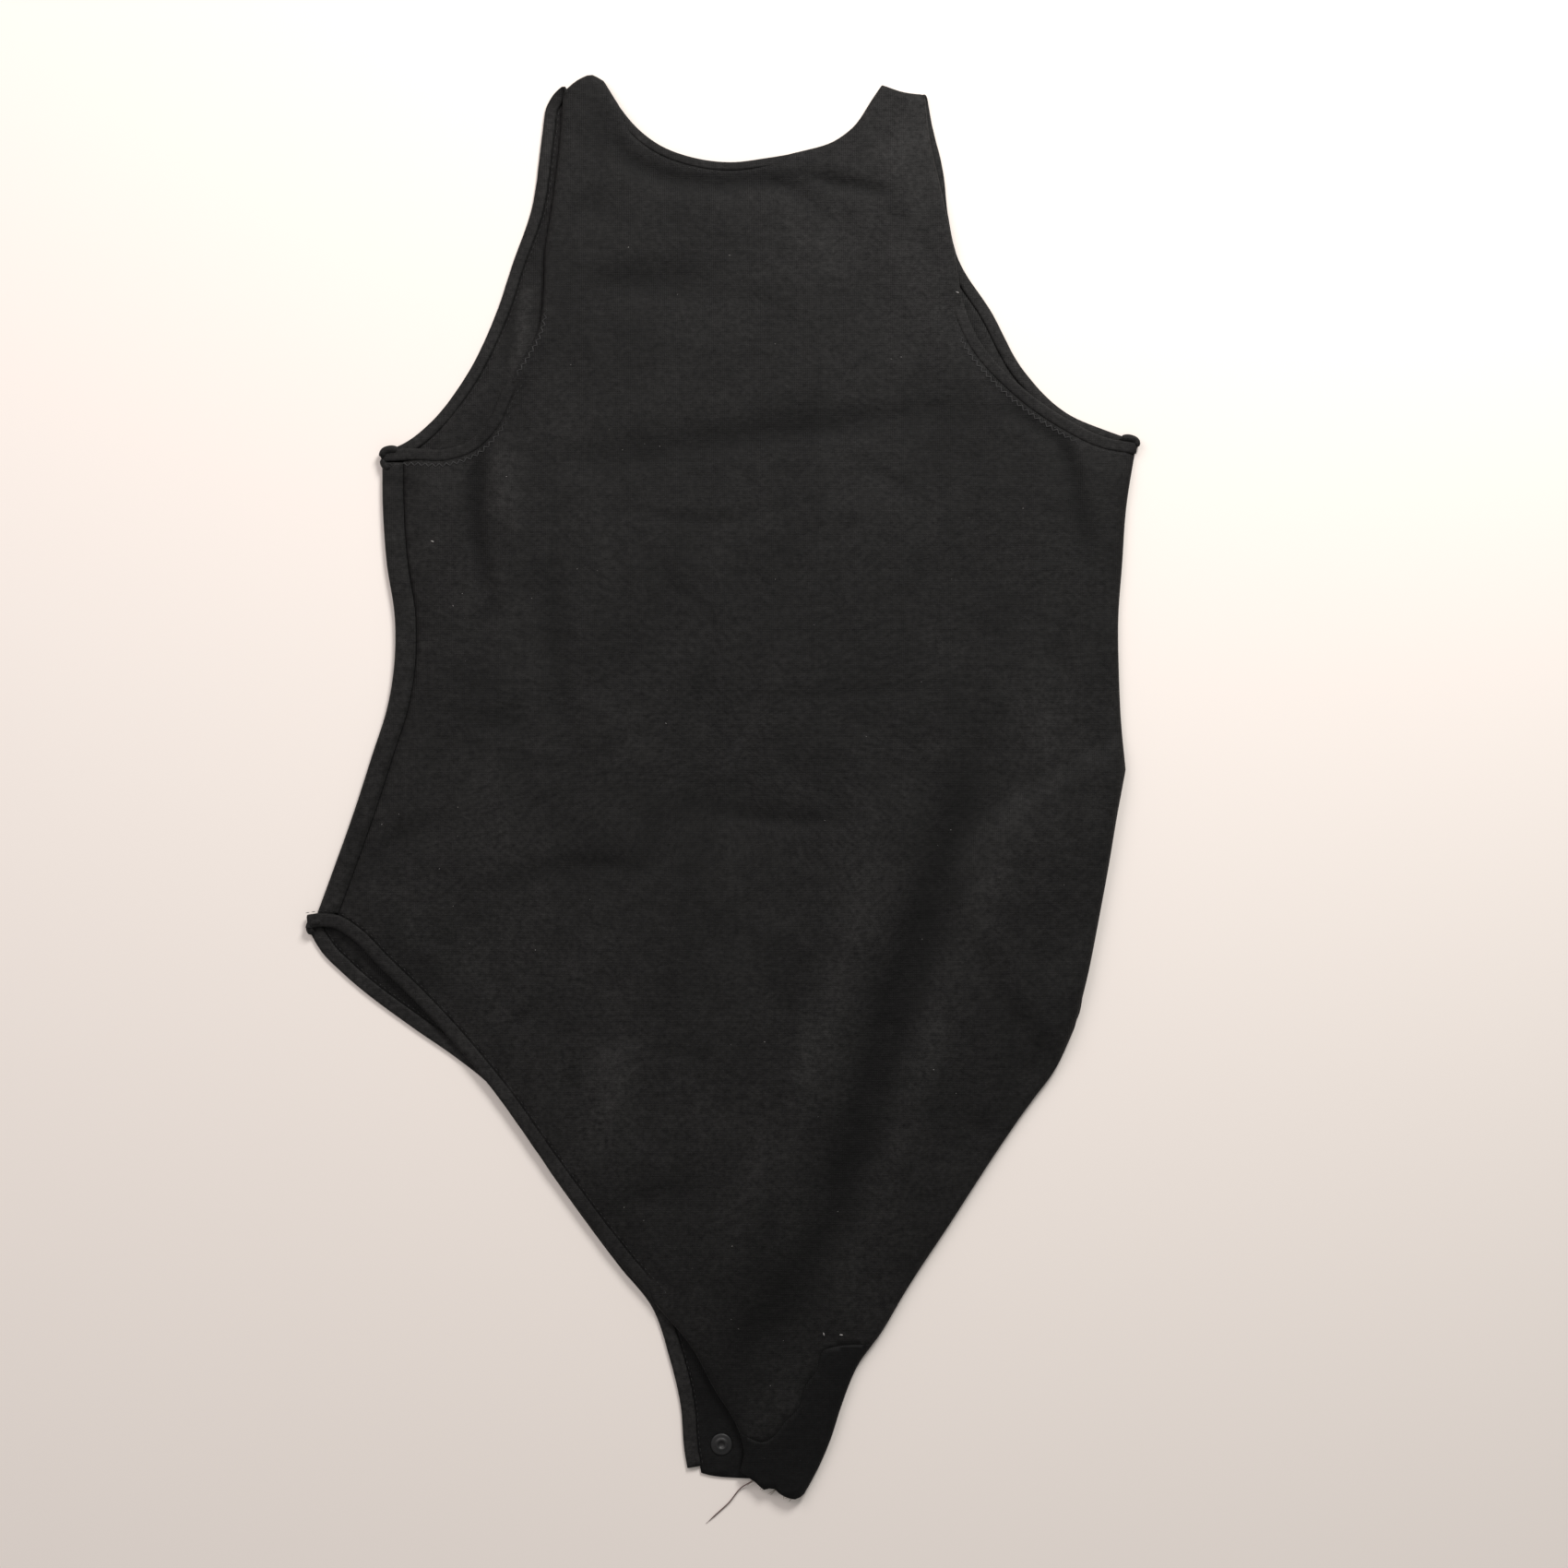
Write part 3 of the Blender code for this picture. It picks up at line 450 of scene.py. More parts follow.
def fold_height(points, folds):
    height = np.zeros(len(points))
    for fold in folds:
        away, along, _ = nearest(points, spline(fold.path, FOLD_STEP / 2))
        fade = np.sin(math.pi * np.clip(along, 0.04, 0.96)) ** 0.6
        height += fold.height * fade * np.exp(-((away / fold.width) ** 2) * 1.6)
    return height


def front_painted_light(points):
    """Painted light and shade of the front at each point: painted shade in the folds' hollows, painted light on their
    ridges, and each patch by its own amount.
    """
    fade = 0.5 + FOLD_PAINTED_SHADE * fold_height(points, FOLDS + CREASES)
    for patch in PAINTED_LIGHT_PATCHES:
        away = np.linalg.norm(points - (patch.x, patch.y), axis=1)
        fade += patch.fade * np.exp(-((away / patch.radius) ** 2))
    return fade


def back_painted_light(points):
    """Painted light and shade of the back's inside at each point: painted light all over it and on its raised folds,
    and painted shade where the front's edge and the folds shade it.
    """
    height = fold_height(points, BACK_FOLDS + BACK_PAINTED_SHADE)
    return 0.5 + BACK_PAINTED_LIGHT + FOLD_PAINTED_SHADE * height


def hem_share(band, points):
    """How much of a band shows at each point of the front."""
    share = np.ones(len(points))
    for show in HEM_SHOWS:
        if show.band == band:
            share *= smoothstep((points[:, show.axis] - show.hidden) / (show.shown - show.hidden))
    return share


def swell_height(points):
    height = np.zeros(len(points))
    for level, swell in enumerate(SWELLS):
        scaled = points / (swell.size * swell.stretch, swell.size)
        height += [noise.noise((x, y, 7.3 * level)) * swell.height for x, y in scaled]
    return height


def rolled_down(points, height, line, inset, width, low):
    """The height, rounded down to the low level towards an edge line."""
    away = np.clip((nearest(points, line)[0] - inset) / width, 0, 1)
    return low + (height - low) * np.sqrt(1 - (1 - away) ** 2)


def front_height(points):
    """Height of the middle of the front's wall."""
    lift = hip_lift(points)
    height = FRONT_LEVEL + HIP_FRONT_LIFT * lift + fold_height(points, FOLDS + CREASES) + swell_height(points)
    for band, (edge, width) in FRONT_BANDS.items():
        away = nearest(points, edge.points)[0] - (width - TUCK)
        level = UPPER_BAND + COVERED_RISE * (1 - hem_share(band, points))
        height = level + (height - level) * smoothstep(away / FRONT_RISE + 0.02)
    lip_level = BACK_LEVEL + 2 * WRAP_RADIUS - SEAM_SINK
    away = nearest(points, FRONT_SEAM.points)[0]
    height = lip_level + (height - lip_level) * smoothstep(away / FRONT_RISE + 0.02) ** 0.7
    height = np.maximum(height, FRONT_LOWEST + HIP_FRONT_LIFT * lift)
    low = np.interp(points[:, 1], [row.y for row in ROLLED_EDGE], [row.height for row in ROLLED_EDGE])
    for line in ROLLED_LINES:
        height = rolled_down(points, height, line, ROLL_INSET, ROLL_WIDTH, low)
    for band, (edge, _) in FRONT_BANDS.items():
        rounded = rolled_down(points, height, edge.points, COVERED_INSET, COVERED_ROWS[-1], COVERED_EDGE)
        height = height + (rounded - height) * (1 - hem_share(band, points))
    for line in STRAP_LINES:
        height = rolled_down(points, height, line, STRAP_INSET, STRAP_ROWS[-1], STRAP_FOLD_LEVEL)
    return height


def back_height(points):
    return BACK_LEVEL + HIP_LIFT * hip_lift(points) + fold_height(points, BACK_FOLDS)


def front_top(points):
    """The top surface of the front at points (x, y)."""
    return front_height(points) + CLOTH / 2


# Walls of cloth


def lattice(low, high, spacing):
    rows = np.arange(low[1], high[1], spacing * math.sqrt(0.75))
    points = [
        (x + (index % 2) * spacing / 2, y)
        for index, y in enumerate(rows)
        for x in np.arange(low[0], high[0], spacing)
    ]
    return np.array(points)


def in_region(points, cut, margin):
    """Whether each point is in the outline, on the cloth's side of the seams and clear of each border's inset."""
    kept = inside(points, np.vstack([edge.points[edge.core] for edge in cut.outline]))
    for border in cut.borders:
        line = border.edge.points
        away, along, _ = nearest(points, line)
        run = np.r_[0, np.cumsum(np.linalg.norm(np.diff(line, axis=0), axis=1))]
        kept &= away > np.interp(along, run / run[-1], np.broadcast_to(border.inset, len(line))) + margin
    for seam in cut.seams:
        kept &= nearest(points, seam.points)[2]
    return kept


def flat_sheet(cut, spacing):
    """A triangulated sheet of the cut, on an even lattice."""
    low = np.min([border.edge.points.min(axis=0) for border in cut.borders], axis=0)
    high = np.max([border.edge.points.max(axis=0) for border in cut.borders], axis=0)
    inner = lattice(low, high, spacing)
    inner = inner[in_region(inner, cut, spacing * 0.45)]
    lines = [shifted(border.edge, row) for border in cut.borders for row in (border.inset, *border.rows)]
    points, links = [*inner], []
    for line in (*lines, *cut.creases):
        first = len(points)
        points.extend(line)
        links.extend((first + index, first + index + 1) for index in range(len(line) - 1))
    found = delaunay_2d_cdt([tuple(point) for point in points], links, [], 0, 0.02)
    flat = np.array([tuple(point) for point in found[0]])
    faces = np.array(found[2])
    faces = faces[in_region(flat[faces].mean(axis=1), cut, -0.1)]
    used, index = np.unique(faces, return_inverse=True)
    return flat[used], index.reshape(faces.shape)


def wrapped(points, heights):
    """Bends what lies left of the left side's fold line up and over, onto the top."""
    fold_x = np.interp(points[:, 1], SIDE_LINE[::-1, 1], SIDE_LINE[::-1, 0]) + WRAP_OUTSIDE
    beyond = fold_x - points[:, 0]
    turn = np.clip(beyond / WRAP_RADIUS, 0, math.pi)
    over = np.maximum(beyond - math.pi * WRAP_RADIUS, 0)
    x = np.where(beyond > 0, fold_x - WRAP_RADIUS * np.sin(turn) + over, points[:, 0])
    z = heights + WRAP_RADIUS * (1 - np.cos(turn))
    return np.column_stack([x, points[:, 1], z])


def placed(points, heights):
    return np.column_stack([points, heights])


# Pieces


def add_piece(name, points, faces, look, slot):
    """A mesh of points in millimetres of the tables, that rides on the garment and takes the given look. The slot is
    not used.
    """
    world = (np.asarray(points) + (*SHIFT, 0)) * MM
    mesh = bpy.data.meshes.new(name)
    mesh.from_pydata(world.tolist(), [], [tuple(map(int, face)) for face in faces])
    shape = bmesh.new()
    shape.from_mesh(mesh)
    bmesh.ops.recalc_face_normals(shape, faces=shape.faces)
    shape.to_mesh(mesh)
    shape.free()
    mesh.shade_smooth()
    mesh.materials.append(look)
    made = bpy.data.objects.new(name, mesh)
    bpy.context.scene.collection.objects.link(made)
    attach(made, "root")
    return made


def paint_light(piece, fade):
    """Keeps the painted light and shade of the cloth at each point, in its fade attribute, for its colour: 0.5 is
    even, and painted shade darkens the hollows.
    """
    attribute = piece.data.attributes.new("fade", "FLOAT", "POINT")
    attribute.data.foreach_set("value", np.clip(fade, 0, 1))


def add_wall(name, node, cut, spacing, height, fade, look, slot, place=placed):
    """A shell of cloth of the given cut, whose middle is at the given height. It stands for a node."""
    flat, faces = flat_sheet(cut, spacing)
    made = add_piece(name, place(flat, height(flat)), faces, look, slot)
    # The fade function gives the cloth's painted light and shade
    paint_light(made, fade(flat))
    wall = made.modifiers.new("cloth", "SOLIDIFY")
    wall.thickness = CLOTH * MM
    wall.offset = 0
    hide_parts(node)
    return made


def strand(edge, width, level, inset=0.0, trims=(BEND_TRIM, BEND_TRIM)):
    """The middle line of a band along an edge, and the way to its opening, less a length at each of its two ends."""
    points = edge.points[edge.core]
    normals = left_normals(points)
    run = np.r_[0, np.cumsum(np.linalg.norm(np.diff(points, axis=0), axis=1))]
    first, last = trims[0], run[-1] - trims[1]
    at = np.r_[first, run[(run > first + 1) & (run < last - 1)], last]
    middle = points + normals * (inset + width / 2)
    sideways = np.column_stack([-normals, np.zeros(len(normals))])
    path = [np.interp(at, run, middle[:, axis]) for axis in (0, 1)]
    side = [np.interp(at, run, sideways[:, axis]) for axis in (0, 1, 2)]
    return np.column_stack([*path, np.full(len(at), level)]), np.column_stack(side)


def bend(first, second):
    """Joins the end of one strand to the start of the next, round a hairpin."""
    (path, side), (next_path, next_side) = first, second
    start, end = path[-1], next_path[0]
    leave = (path[-1] - path[-2]) / np.linalg.norm(path[-1] - path[-2])
    arrive = (next_path[1] - next_path[0]) / np.linalg.norm(next_path[1] - next_path[0])
    reach = max(1.75, 0.45 * np.linalg.norm(end - start))
    t = np.linspace(0, 1, BEND_PARTS + 1)[1:-1, None]
    curve = (
        (1 - t) ** 3 * start
        + 3 * (1 - t) ** 2 * t * (start + leave * reach)
        + 3 * (1 - t) * t**2 * (end - arrive * reach)
        + t**3 * end
    )
    return curve, (1 - t) * side[-1] + t * next_side[0]


def sections(path, side, width, groove, covered, closed):
    """A binding's section at each point of its path, slightly uneven in height and width."""
    if closed:
        forward = np.roll(path, -1, axis=0) - np.roll(path, 1, axis=0)
    else:
        forward = np.gradient(path, axis=0)
    forward /= np.linalg.norm(forward, axis=1)[:, None]
    side = side - (side * forward).sum(axis=1)[:, None] * forward
    side /= np.linalg.norm(side, axis=1)[:, None]
    up = np.cross(forward, side)
    uneven = np.array([noise.noise((x / 6, y / 6, z)) for x, y, z in path])[:, None]
    lines = []
    for point in BINDING_SECTION:
        rise = (point.plain + (point.grooved - point.plain) * groove) * (0.96 + 0.10 * uneven)
        rise = rise * (1 - (1 - COVERED_BAND) * covered)
        lines.append(path + side * (point.across * width * (1 + 0.04 * uneven)) + up * rise)
    for point in BINDING_SECTION[::-1]:
        lines.append(path + side * (point.across * width) - up * min(point.plain, 0.9))
    return np.stack(lines, axis=1)


def add_binding(name, node, strands, width, closed):
    """A binding swept along its strands, closed into a ring or left with two cut ends. It stands for a band."""
    runs = []
    for index, piece in enumerate(strands):
        runs.append(piece)
        if closed or index < len(strands) - 1:
            runs.append(bend(piece, strands[(index + 1) % len(strands)]))
    path = np.vstack([run[0] for run in runs])
    side = np.vstack([run[1] for run in runs])
    on_front = smoothstep((path[:, 2] - LOWER_BAND) / (UPPER_BAND - LOWER_BAND))[:, None]
    share = hem_share(node, path[:, :2])[:, None]
    groove = on_front * share * GROOVE_DEPTH[node]
    rings = sections(path, side, width, groove, on_front * (1 - share), closed)
    count, around = rings.shape[:2]
    faces = []
    for index in range(count if closed else count - 1):
        here, there = index * around, (index + 1) % count * around
        for corner in range(around):
            after = (corner + 1) % around
            faces.append((here + corner, here + after, there + after, there + corner))
    if not closed:
        faces.append(tuple(range(around)))
        faces.append(tuple(range((count - 1) * around, count * around)))
    made = add_piece(name, rings.reshape(-1, 3), faces, band_look, "black_band")
    plain, grooved = (np.array(column) for column in list(zip(*BINDING_SECTION))[1:])
    relief = plain + (grooved - plain) * groove
    relief = np.hstack([relief, np.ones_like(relief)])
    flat = rings.reshape(-1, 3)[:, :2]
    front_share = np.repeat(on_front, around)
    # Painted light and shade of the binding: on the front it takes the front's, on the back it is painted lighter, and
    # painted shade darkens its groove and the low edges of its roll
    fade = front_share * front_painted_light(flat) + (1 - front_share) * (0.5 + BACK_PAINTED_LIGHT)
    paint_light(made, fade + 0.5 * (relief.reshape(-1) - 0.9))
    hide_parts(node)
    return made


def tube(path, radius, around=5):
    """Points and faces of a thin round tube through a path, with pinched ends."""
    path = np.asarray(path, float)
    forward = np.gradient(path, axis=0)
    forward /= np.linalg.norm(forward, axis=1)[:, None]
    side = np.cross(forward, (0.13, 0.31, 0.94))
    side /= np.linalg.norm(side, axis=1)[:, None]
    up = np.cross(side, forward)
    size = radius * np.clip(2.2 * np.sin(np.linspace(0, math.pi, len(path))), 0.3, 1)
    angles = np.arange(around) * 2 * math.pi / around
    rings = [path + (side * math.cos(a) + up * math.sin(a)) * size[:, None] for a in angles]
    points = np.stack(rings, axis=1).reshape(-1, 3)
    faces = [tuple(range(around)), tuple(range((len(path) - 1) * around, len(path) * around))]
    for index in range(len(path) - 1):
        here, there = index * around, (index + 1) * around
        for corner in range(around):
            after = (corner + 1) % around
            faces.append((here + corner, here + after, there + after, there + corner))
    return points, faces


def joined(shapes):
    """Several shapes' points and faces as one."""
    points, faces, first = [], [], 0
    for shape_points, shape_faces in shapes:
        points.append(shape_points)
        faces += [tuple(corner + first for corner in face) for face in shape_faces]
        first += len(shape_points)
    return np.vstack(points), faces


def stitches(line, height, band="", pitch=3.0, length=2.1, radius=0.17):
    """Separate stitches along a line of the plan, on the surface that height gives, where the band shows."""
    run = np.r_[0, np.cumsum(np.linalg.norm(np.diff(line, axis=0), axis=1))]
    starts = np.arange(1.0, run[-1] - length, pitch)
    at = (starts[:, None] + np.array([0, length / 3, 2 * length / 3, length])).reshape(-1)
    plan = np.column_stack([np.interp(at, run, line[:, axis]) for axis in (0, 1)])
    lift = np.tile([-0.12, 0.06, 0.06, -0.12], len(starts))
    spots = np.column_stack([plan, height(plan) + lift]).reshape(len(starts), 4, 3)
    spots = spots[hem_share(band, spots[:, 0, :2]) > 0.5]
    return [tube(spot, radius, around=4) for spot in spots]


def overlock(line, height, reach=0.9, pitch=3.6, radius=0.36):
    """A zigzag of thread over a cut edge, along a line of the plan."""
    run = np.r_[0, np.cumsum(np.linalg.norm(np.diff(line, axis=0), axis=1))]
    at = np.arange(0, run[-1], pitch / 4)
    plan = np.column_stack([np.interp(at, run, line[:, axis]) for axis in (0, 1)])
    normals = left_normals(plan)
    phase = at * 2 * math.pi / pitch
    plan = plan + normals * (reach * np.sin(phase))[:, None]
    return tube(np.column_stack([plan, height(plan) + 0.10 * np.cos(2 * phase)]), radius, around=6)


# Materials


def node(tree, kind, settings=(), **inputs):
    made = tree.nodes.new(kind)
    for name, value in settings:
        setattr(made, name, value)
    for name, value in inputs.items():
        socket = made.inputs[name.replace("_", " ")]
        if isinstance(value, bpy.types.NodeSocket):
            tree.links.new(value, socket)
        else:
            socket.default_value = value
    return made


def ramp(tree, value, stops):
    """A ramp whose stops are (place, grey or colour)."""
    made = node(tree, "ShaderNodeValToRGB", Fac=value)
    elements = made.color_ramp.elements
    while len(elements) < len(stops):
        elements.new(0.5)
    for element, (place, colour) in zip(elements, stops):
        element.position = place
        element.color = (*colour, 1) if hasattr(colour, "__len__") else (colour, colour, colour, 1)
    return made.outputs["Color"]


def jersey(name, dark, light, knit, pile):
    """Black cotton knit: fine ribs and courses, a worn, mottled surface, and specks of lint in it."""
    made = bpy.data.materials.new(name)
    made.use_nodes = True
    tree = made.node_tree
    shader = tree.nodes["Principled BSDF"]
    shader.inputs["Roughness"].default_value = 0.62
    shader.inputs["Specular IOR Level"].default_value = 0.13
    shader.inputs["Sheen Weight"].default_value = 0.03
    shader.inputs["Sheen Roughness"].default_value = 0.45
    place = node(tree, "ShaderNodeTexCoord").outputs["Object"]
    stretched = node(tree, "ShaderNodeMapping", Vector=place, Scale=(0.85, 1.0, 1.0)).outputs["Vector"]

    def cloud(scale, detail, vector=place, roughness=0.6):
        return node(
            tree, "ShaderNodeTexNoise", Vector=vector, Scale=scale, Detail=detail, Roughness=roughness
        ).outputs["Fac"]

    def mixed(kind, first, second, factor):
        made_mix = node(tree, "ShaderNodeMix", (("data_type", "RGBA"), ("blend_type", kind)))
        for socket, value in ((0, factor), (6, first), (7, second)):
            if isinstance(value, bpy.types.NodeSocket):
                tree.links.new(value, made_mix.inputs[socket])
            else:
                made_mix.inputs[socket].default_value = value
        return made_mix.outputs[2]

    wear = ramp(tree, cloud(20, 5), ((0.32, 0.0), (0.68, 1.0)))
    mottle = ramp(tree, cloud(430, 5, stretched, 0.75), ((0.33, 0.0), (0.70, 1.0)))
    fade = node(tree, "ShaderNodeAttribute", (("attribute_name", "fade"),)).outputs["Fac"]
    base = mixed("MIX", (*dark, 1), (*light, 1), mottle)
    base = mixed("MULTIPLY", base, ramp(tree, wear, ((0.0, 0.74), (1.0, 1.28))), 1.0)
    base = mixed("MULTIPLY", base, ramp(tree, cloud(90, 3), ((0.34, 0.86), (0.66, 1.14))), 1.0)
    # The fade attribute darkens or lightens the colour: painted shade in hollows and grooves, painted light on ridges
    # and lit patches
    base = mixed("MULTIPLY", base, ramp(tree, fade, ((0.0, 0.40), (0.5, 1.0), (1.0, 1.9))), 1.0)
    specks = ramp(tree, cloud(900, 2), ((0.735, 0.0), (0.78, 1.0)))
    base = mixed("MIX", base, (0.055, 0.052, 0.050, 1), mixed("MULTIPLY", specks, (0.35, 0.35, 0.35, 1), 1.0))
    tree.links.new(base, shader.inputs["Base Color"])

    ribs = node(
        tree, "ShaderNodeTexWave", (("bands_direction", "X"),), Vector=place, Scale=330.0, Distortion=1.2, Detail=1.0
    ).outputs["Fac"]
    courses = node(
        tree, "ShaderNodeTexWave", (("bands_direction", "Y"),), Vector=place, Scale=400.0, Distortion=1.6, Detail=1.0
    ).outputs["Fac"]
    loops = mixed("MULTIPLY", ribs, courses, 0.7)
    relief = mixed("MIX", loops, cloud(480, 4, stretched), 0.5)
    bump = node(tree, "ShaderNodeBump", Height=relief, Strength=knit, Distance=0.0006)
    coarse = node(
        tree, "ShaderNodeBump", Height=cloud(110, 4, stretched), Strength=pile, Distance=0.0015,
        Normal=bump.outputs["Normal"],
    )
    tree.links.new(coarse.outputs["Normal"], shader.inputs["Normal"])
    return made


def plain(name, colour, roughness, grain=600.0, strength=0.2, metallic=0.0):
    """Thread, lint or metal: one colour with a fine grain."""
    made = bpy.data.materials.new(name)
    made.use_nodes = True
    tree = made.node_tree
    shader = tree.nodes["Principled BSDF"]
    shader.inputs["Roughness"].default_value = roughness
    shader.inputs["Metallic"].default_value = metallic
    place = node(tree, "ShaderNodeTexCoord").outputs["Object"]
    cloud = node(tree, "ShaderNodeTexNoise", Vector=place, Scale=grain, Detail=3.0).outputs["Fac"]
    dim = tuple(channel * 0.7 for channel in colour)
    tree.links.new(ramp(tree, cloud, ((0.3, dim), (0.7, colour))), shader.inputs["Base Color"])
    bump = node(tree, "ShaderNodeBump", Height=cloud, Strength=strength, Distance=0.0003)
    tree.links.new(bump.outputs["Normal"], shader.inputs["Normal"])
    return made


# Edges that several pieces share
SIDE_LINE = spline(SIDE_LEFT, EDGE_STEP)
HIP_OUTLINE = spline(HIP_FOLD_OUTLINE + HIP_FOLD_OUTLINE[:1], EDGE_STEP)[:-1]
HIP_NORMALS = left_normals(np.vstack([HIP_OUTLINE[-1:], HIP_OUTLINE, HIP_OUTLINE[:1]]))[1:-1]
neck_front, neck_back = trace(NECK_FRONT), trace(NECK_BACK)
armhole_right_front, armhole_right_back = trace(ARMHOLE_RIGHT_FRONT), trace(ARMHOLE_RIGHT_BACK)
armhole_left_front = trace(ARMHOLE_LEFT_FRONT)
armhole_left_back = trace(ARMHOLE_LEFT_BACK, tail=(-1, 0))
leg_left_front = trace(LEG_LEFT_FRONT)
leg_left_back = trace(LEG_LEFT_BACK, head=(-1, 0))
leg_right, hip_edge, side_right = trace(LEG_RIGHT), trace(HIP_EDGE), trace(SIDE_RIGHT)
front_tab_seam, front_tab_top = trace(FRONT_TAB_SEAM), trace(FRONT_TAB_SEAM[::-1])
back_tab_seam, back_tab_top = trace(BACK_TAB_SEAM), trace(BACK_TAB_SEAM[::-1])
strap_right, strap_left_front, strap_left_back = trace(STRAP_RIGHT), trace(STRAP_LEFT_FRONT), trace(STRAP_LEFT_BACK)
crotch_front, crotch_back = trace(CROTCH_FRONT), trace(CROTCH_BACK)
FRONT_SEAM = trace([(x + WRAP_OUTSIDE + WRAP_LIP + SEAM_GAP, y) for x, y in SIDE_LEFT])
ROLLED_LINES = [leg_right.points, hip_edge.points, side_right.points]
STRAP_LINES = [strap_right.points[strap_right.core], strap_left_front.points[strap_left_front.core]]

wrap_reach = math.pi * WRAP_RADIUS
wrap_edge = trace([(x + WRAP_OUTSIDE - wrap_reach - WRAP_LIP, y) for x, y in SIDE_LEFT])
wrap_creases = [
    trace([(x + WRAP_OUTSIDE - wrap_reach * part / WRAP_ROWS, y) for x, y in SIDE_LEFT]).points
    for part in range(WRAP_ROWS + 1)
]

FRONT_BANDS = {
    "neck_band": (neck_front, NECK_BAND),
    "armhole_band_right": (armhole_right_front, ARM_BAND),
    "armhole_band_left": (armhole_left_front, ARM_BAND),
    "leg_band_left": (leg_left_front, LEG_BAND),
}


def banded(band):
    """The front's border at a band: behind it where the band shows, and over it where it is turned under."""
    edge, width = FRONT_BANDS[band]
    share = hem_share(band, edge.points)
    return Border(edge, COVERED_INSET + (width - TUCK - COVERED_INSET) * share, COVERED_ROWS)


neck_cut, leg_left_cut = banded("neck_band"), banded("leg_band_left")
arm_right_cut, arm_left_cut = banded("armhole_band_right"), banded("armhole_band_left")
leg_right_roll = Border(leg_right, ROLL_INSET, ROLL_ROWS)
leg_right_back_cut = Border(leg_right, ROLLED_BAND_INSET + LEG_BAND - TUCK, ())
leg_left_back_cut = Border(leg_left_back, LEG_BAND - TUCK, ())

front_outline = (
    crotch_front, leg_right, hip_edge, side_right, armhole_right_front, strap_right, neck_front, strap_left_front,
    armhole_left_front, FRONT_SEAM, leg_left_front,
)
back_outline = (
    crotch_back, leg_right, hip_edge, side_right, armhole_right_back, strap_right, neck_back, strap_left_back,
    armhole_left_back, wrap_edge, leg_left_back,
)
front_cut = Cut(
    front_outline,
    (
        Border(front_tab_seam, TAB_SEAM_INSET, ()),
        leg_right_roll,
        Border(hip_edge, ROLL_INSET, ROLL_ROWS),
        Border(side_right, ROLL_INSET, ROLL_ROWS),
        arm_right_cut,
        Border(strap_right, STRAP_INSET, STRAP_ROWS),
        neck_cut,
        Border(strap_left_front, STRAP_INSET, STRAP_ROWS),
        arm_left_cut,
        Border(FRONT_SEAM, 0, ()),
        leg_left_cut,
    ),
    (front_tab_seam,),
    (),
)
back_cut = Cut(
    back_outline,
    (
        Border(back_tab_seam, TAB_SEAM_INSET, ()),
        leg_right_back_cut,
        Border(hip_edge, HIP_EDGE_INSET, ()),
        Border(side_right, BACK_SIDE_INSET, ()),
        Border(armhole_right_back, ARM_BAND - TUCK, ()),
        Border(strap_right, STRAP_INSET, ()),
        Border(neck_back, NECK_BAND - TUCK, ()),
        Border(strap_left_back, STRAP_INSET, ()),
        Border(armhole_left_back, ARM_BAND - TUCK, ()),
        Border(wrap_edge, 0, ()),
        leg_left_back_cut,
    ),
    (back_tab_seam,),
    wrap_creases,
)
front_tab_cut = Cut(
    front_outline,
    (Border(crotch_front, ROLL_INSET, ()), leg_right_roll, Border(front_tab_top, TAB_SEAM_INSET, ()), leg_left_cut),
    (front_tab_top,),
    (),
)
back_tab_cut = Cut(
    back_outline,
    (
        Border(crotch_back, ROLL_INSET, ()),
        leg_right_back_cut,
        Border(back_tab_top, TAB_SEAM_INSET, ()),
        leg_left_back_cut,
    ),
    (back_tab_top,),
    (),
)

cloth_look = jersey("faded_jersey", (0.0030, 0.0029, 0.0028), (0.0135, 0.0131, 0.0127), 0.55, 0.55)
band_look = jersey("binding_jersey", (0.0036, 0.0035, 0.0034), (0.0150, 0.0145, 0.0141), 0.50, 0.35)
# The tabs' jersey is darker than the rest: partly a darker cloth, partly painted shade of the crotch
tab_look = jersey("tab_jersey", (0.0015, 0.0015, 0.0015), (0.0050, 0.0050, 0.0050), 0.45, 0.45)
thread_look = plain("black_thread", (0.0110, 0.0108, 0.0108), 0.7)
snap_look = plain("snap_enamel", (0.0065, 0.0065, 0.0068), 0.5, grain=900.0, strength=0.08)
loose_look = plain("loose_thread_brown", (0.12, 0.065, 0.06), 0.8)
frayed_look = plain("frayed_thread", (0.26, 0.23, 0.18), 0.8)
lint_look = plain("lint_grey", (0.28, 0.27, 0.26), 0.9)

front_cloth = add_wall(
    "front_cloth", "front_panel", front_cut, FRONT_SPACING, front_height, front_painted_light, cloth_look, "black_jersey"
)
back_cloth = add_wall(
    "back_cloth", "back_panel", back_cut, BACK_SPACING, back_height, back_painted_light, cloth_look, "black_jersey", wrapped
)
front_tab = add_wall(
    "front_tab_cloth", "crotch_tab_front", front_tab_cut, FRONT_SPACING, front_height, front_painted_light, tab_look, "black_tab"
)
back_tab = add_wall(
    "back_tab_cloth", "crotch_tab_back", back_tab_cut, FRONT_SPACING, back_height, back_painted_light, tab_look, "black_tab"
)

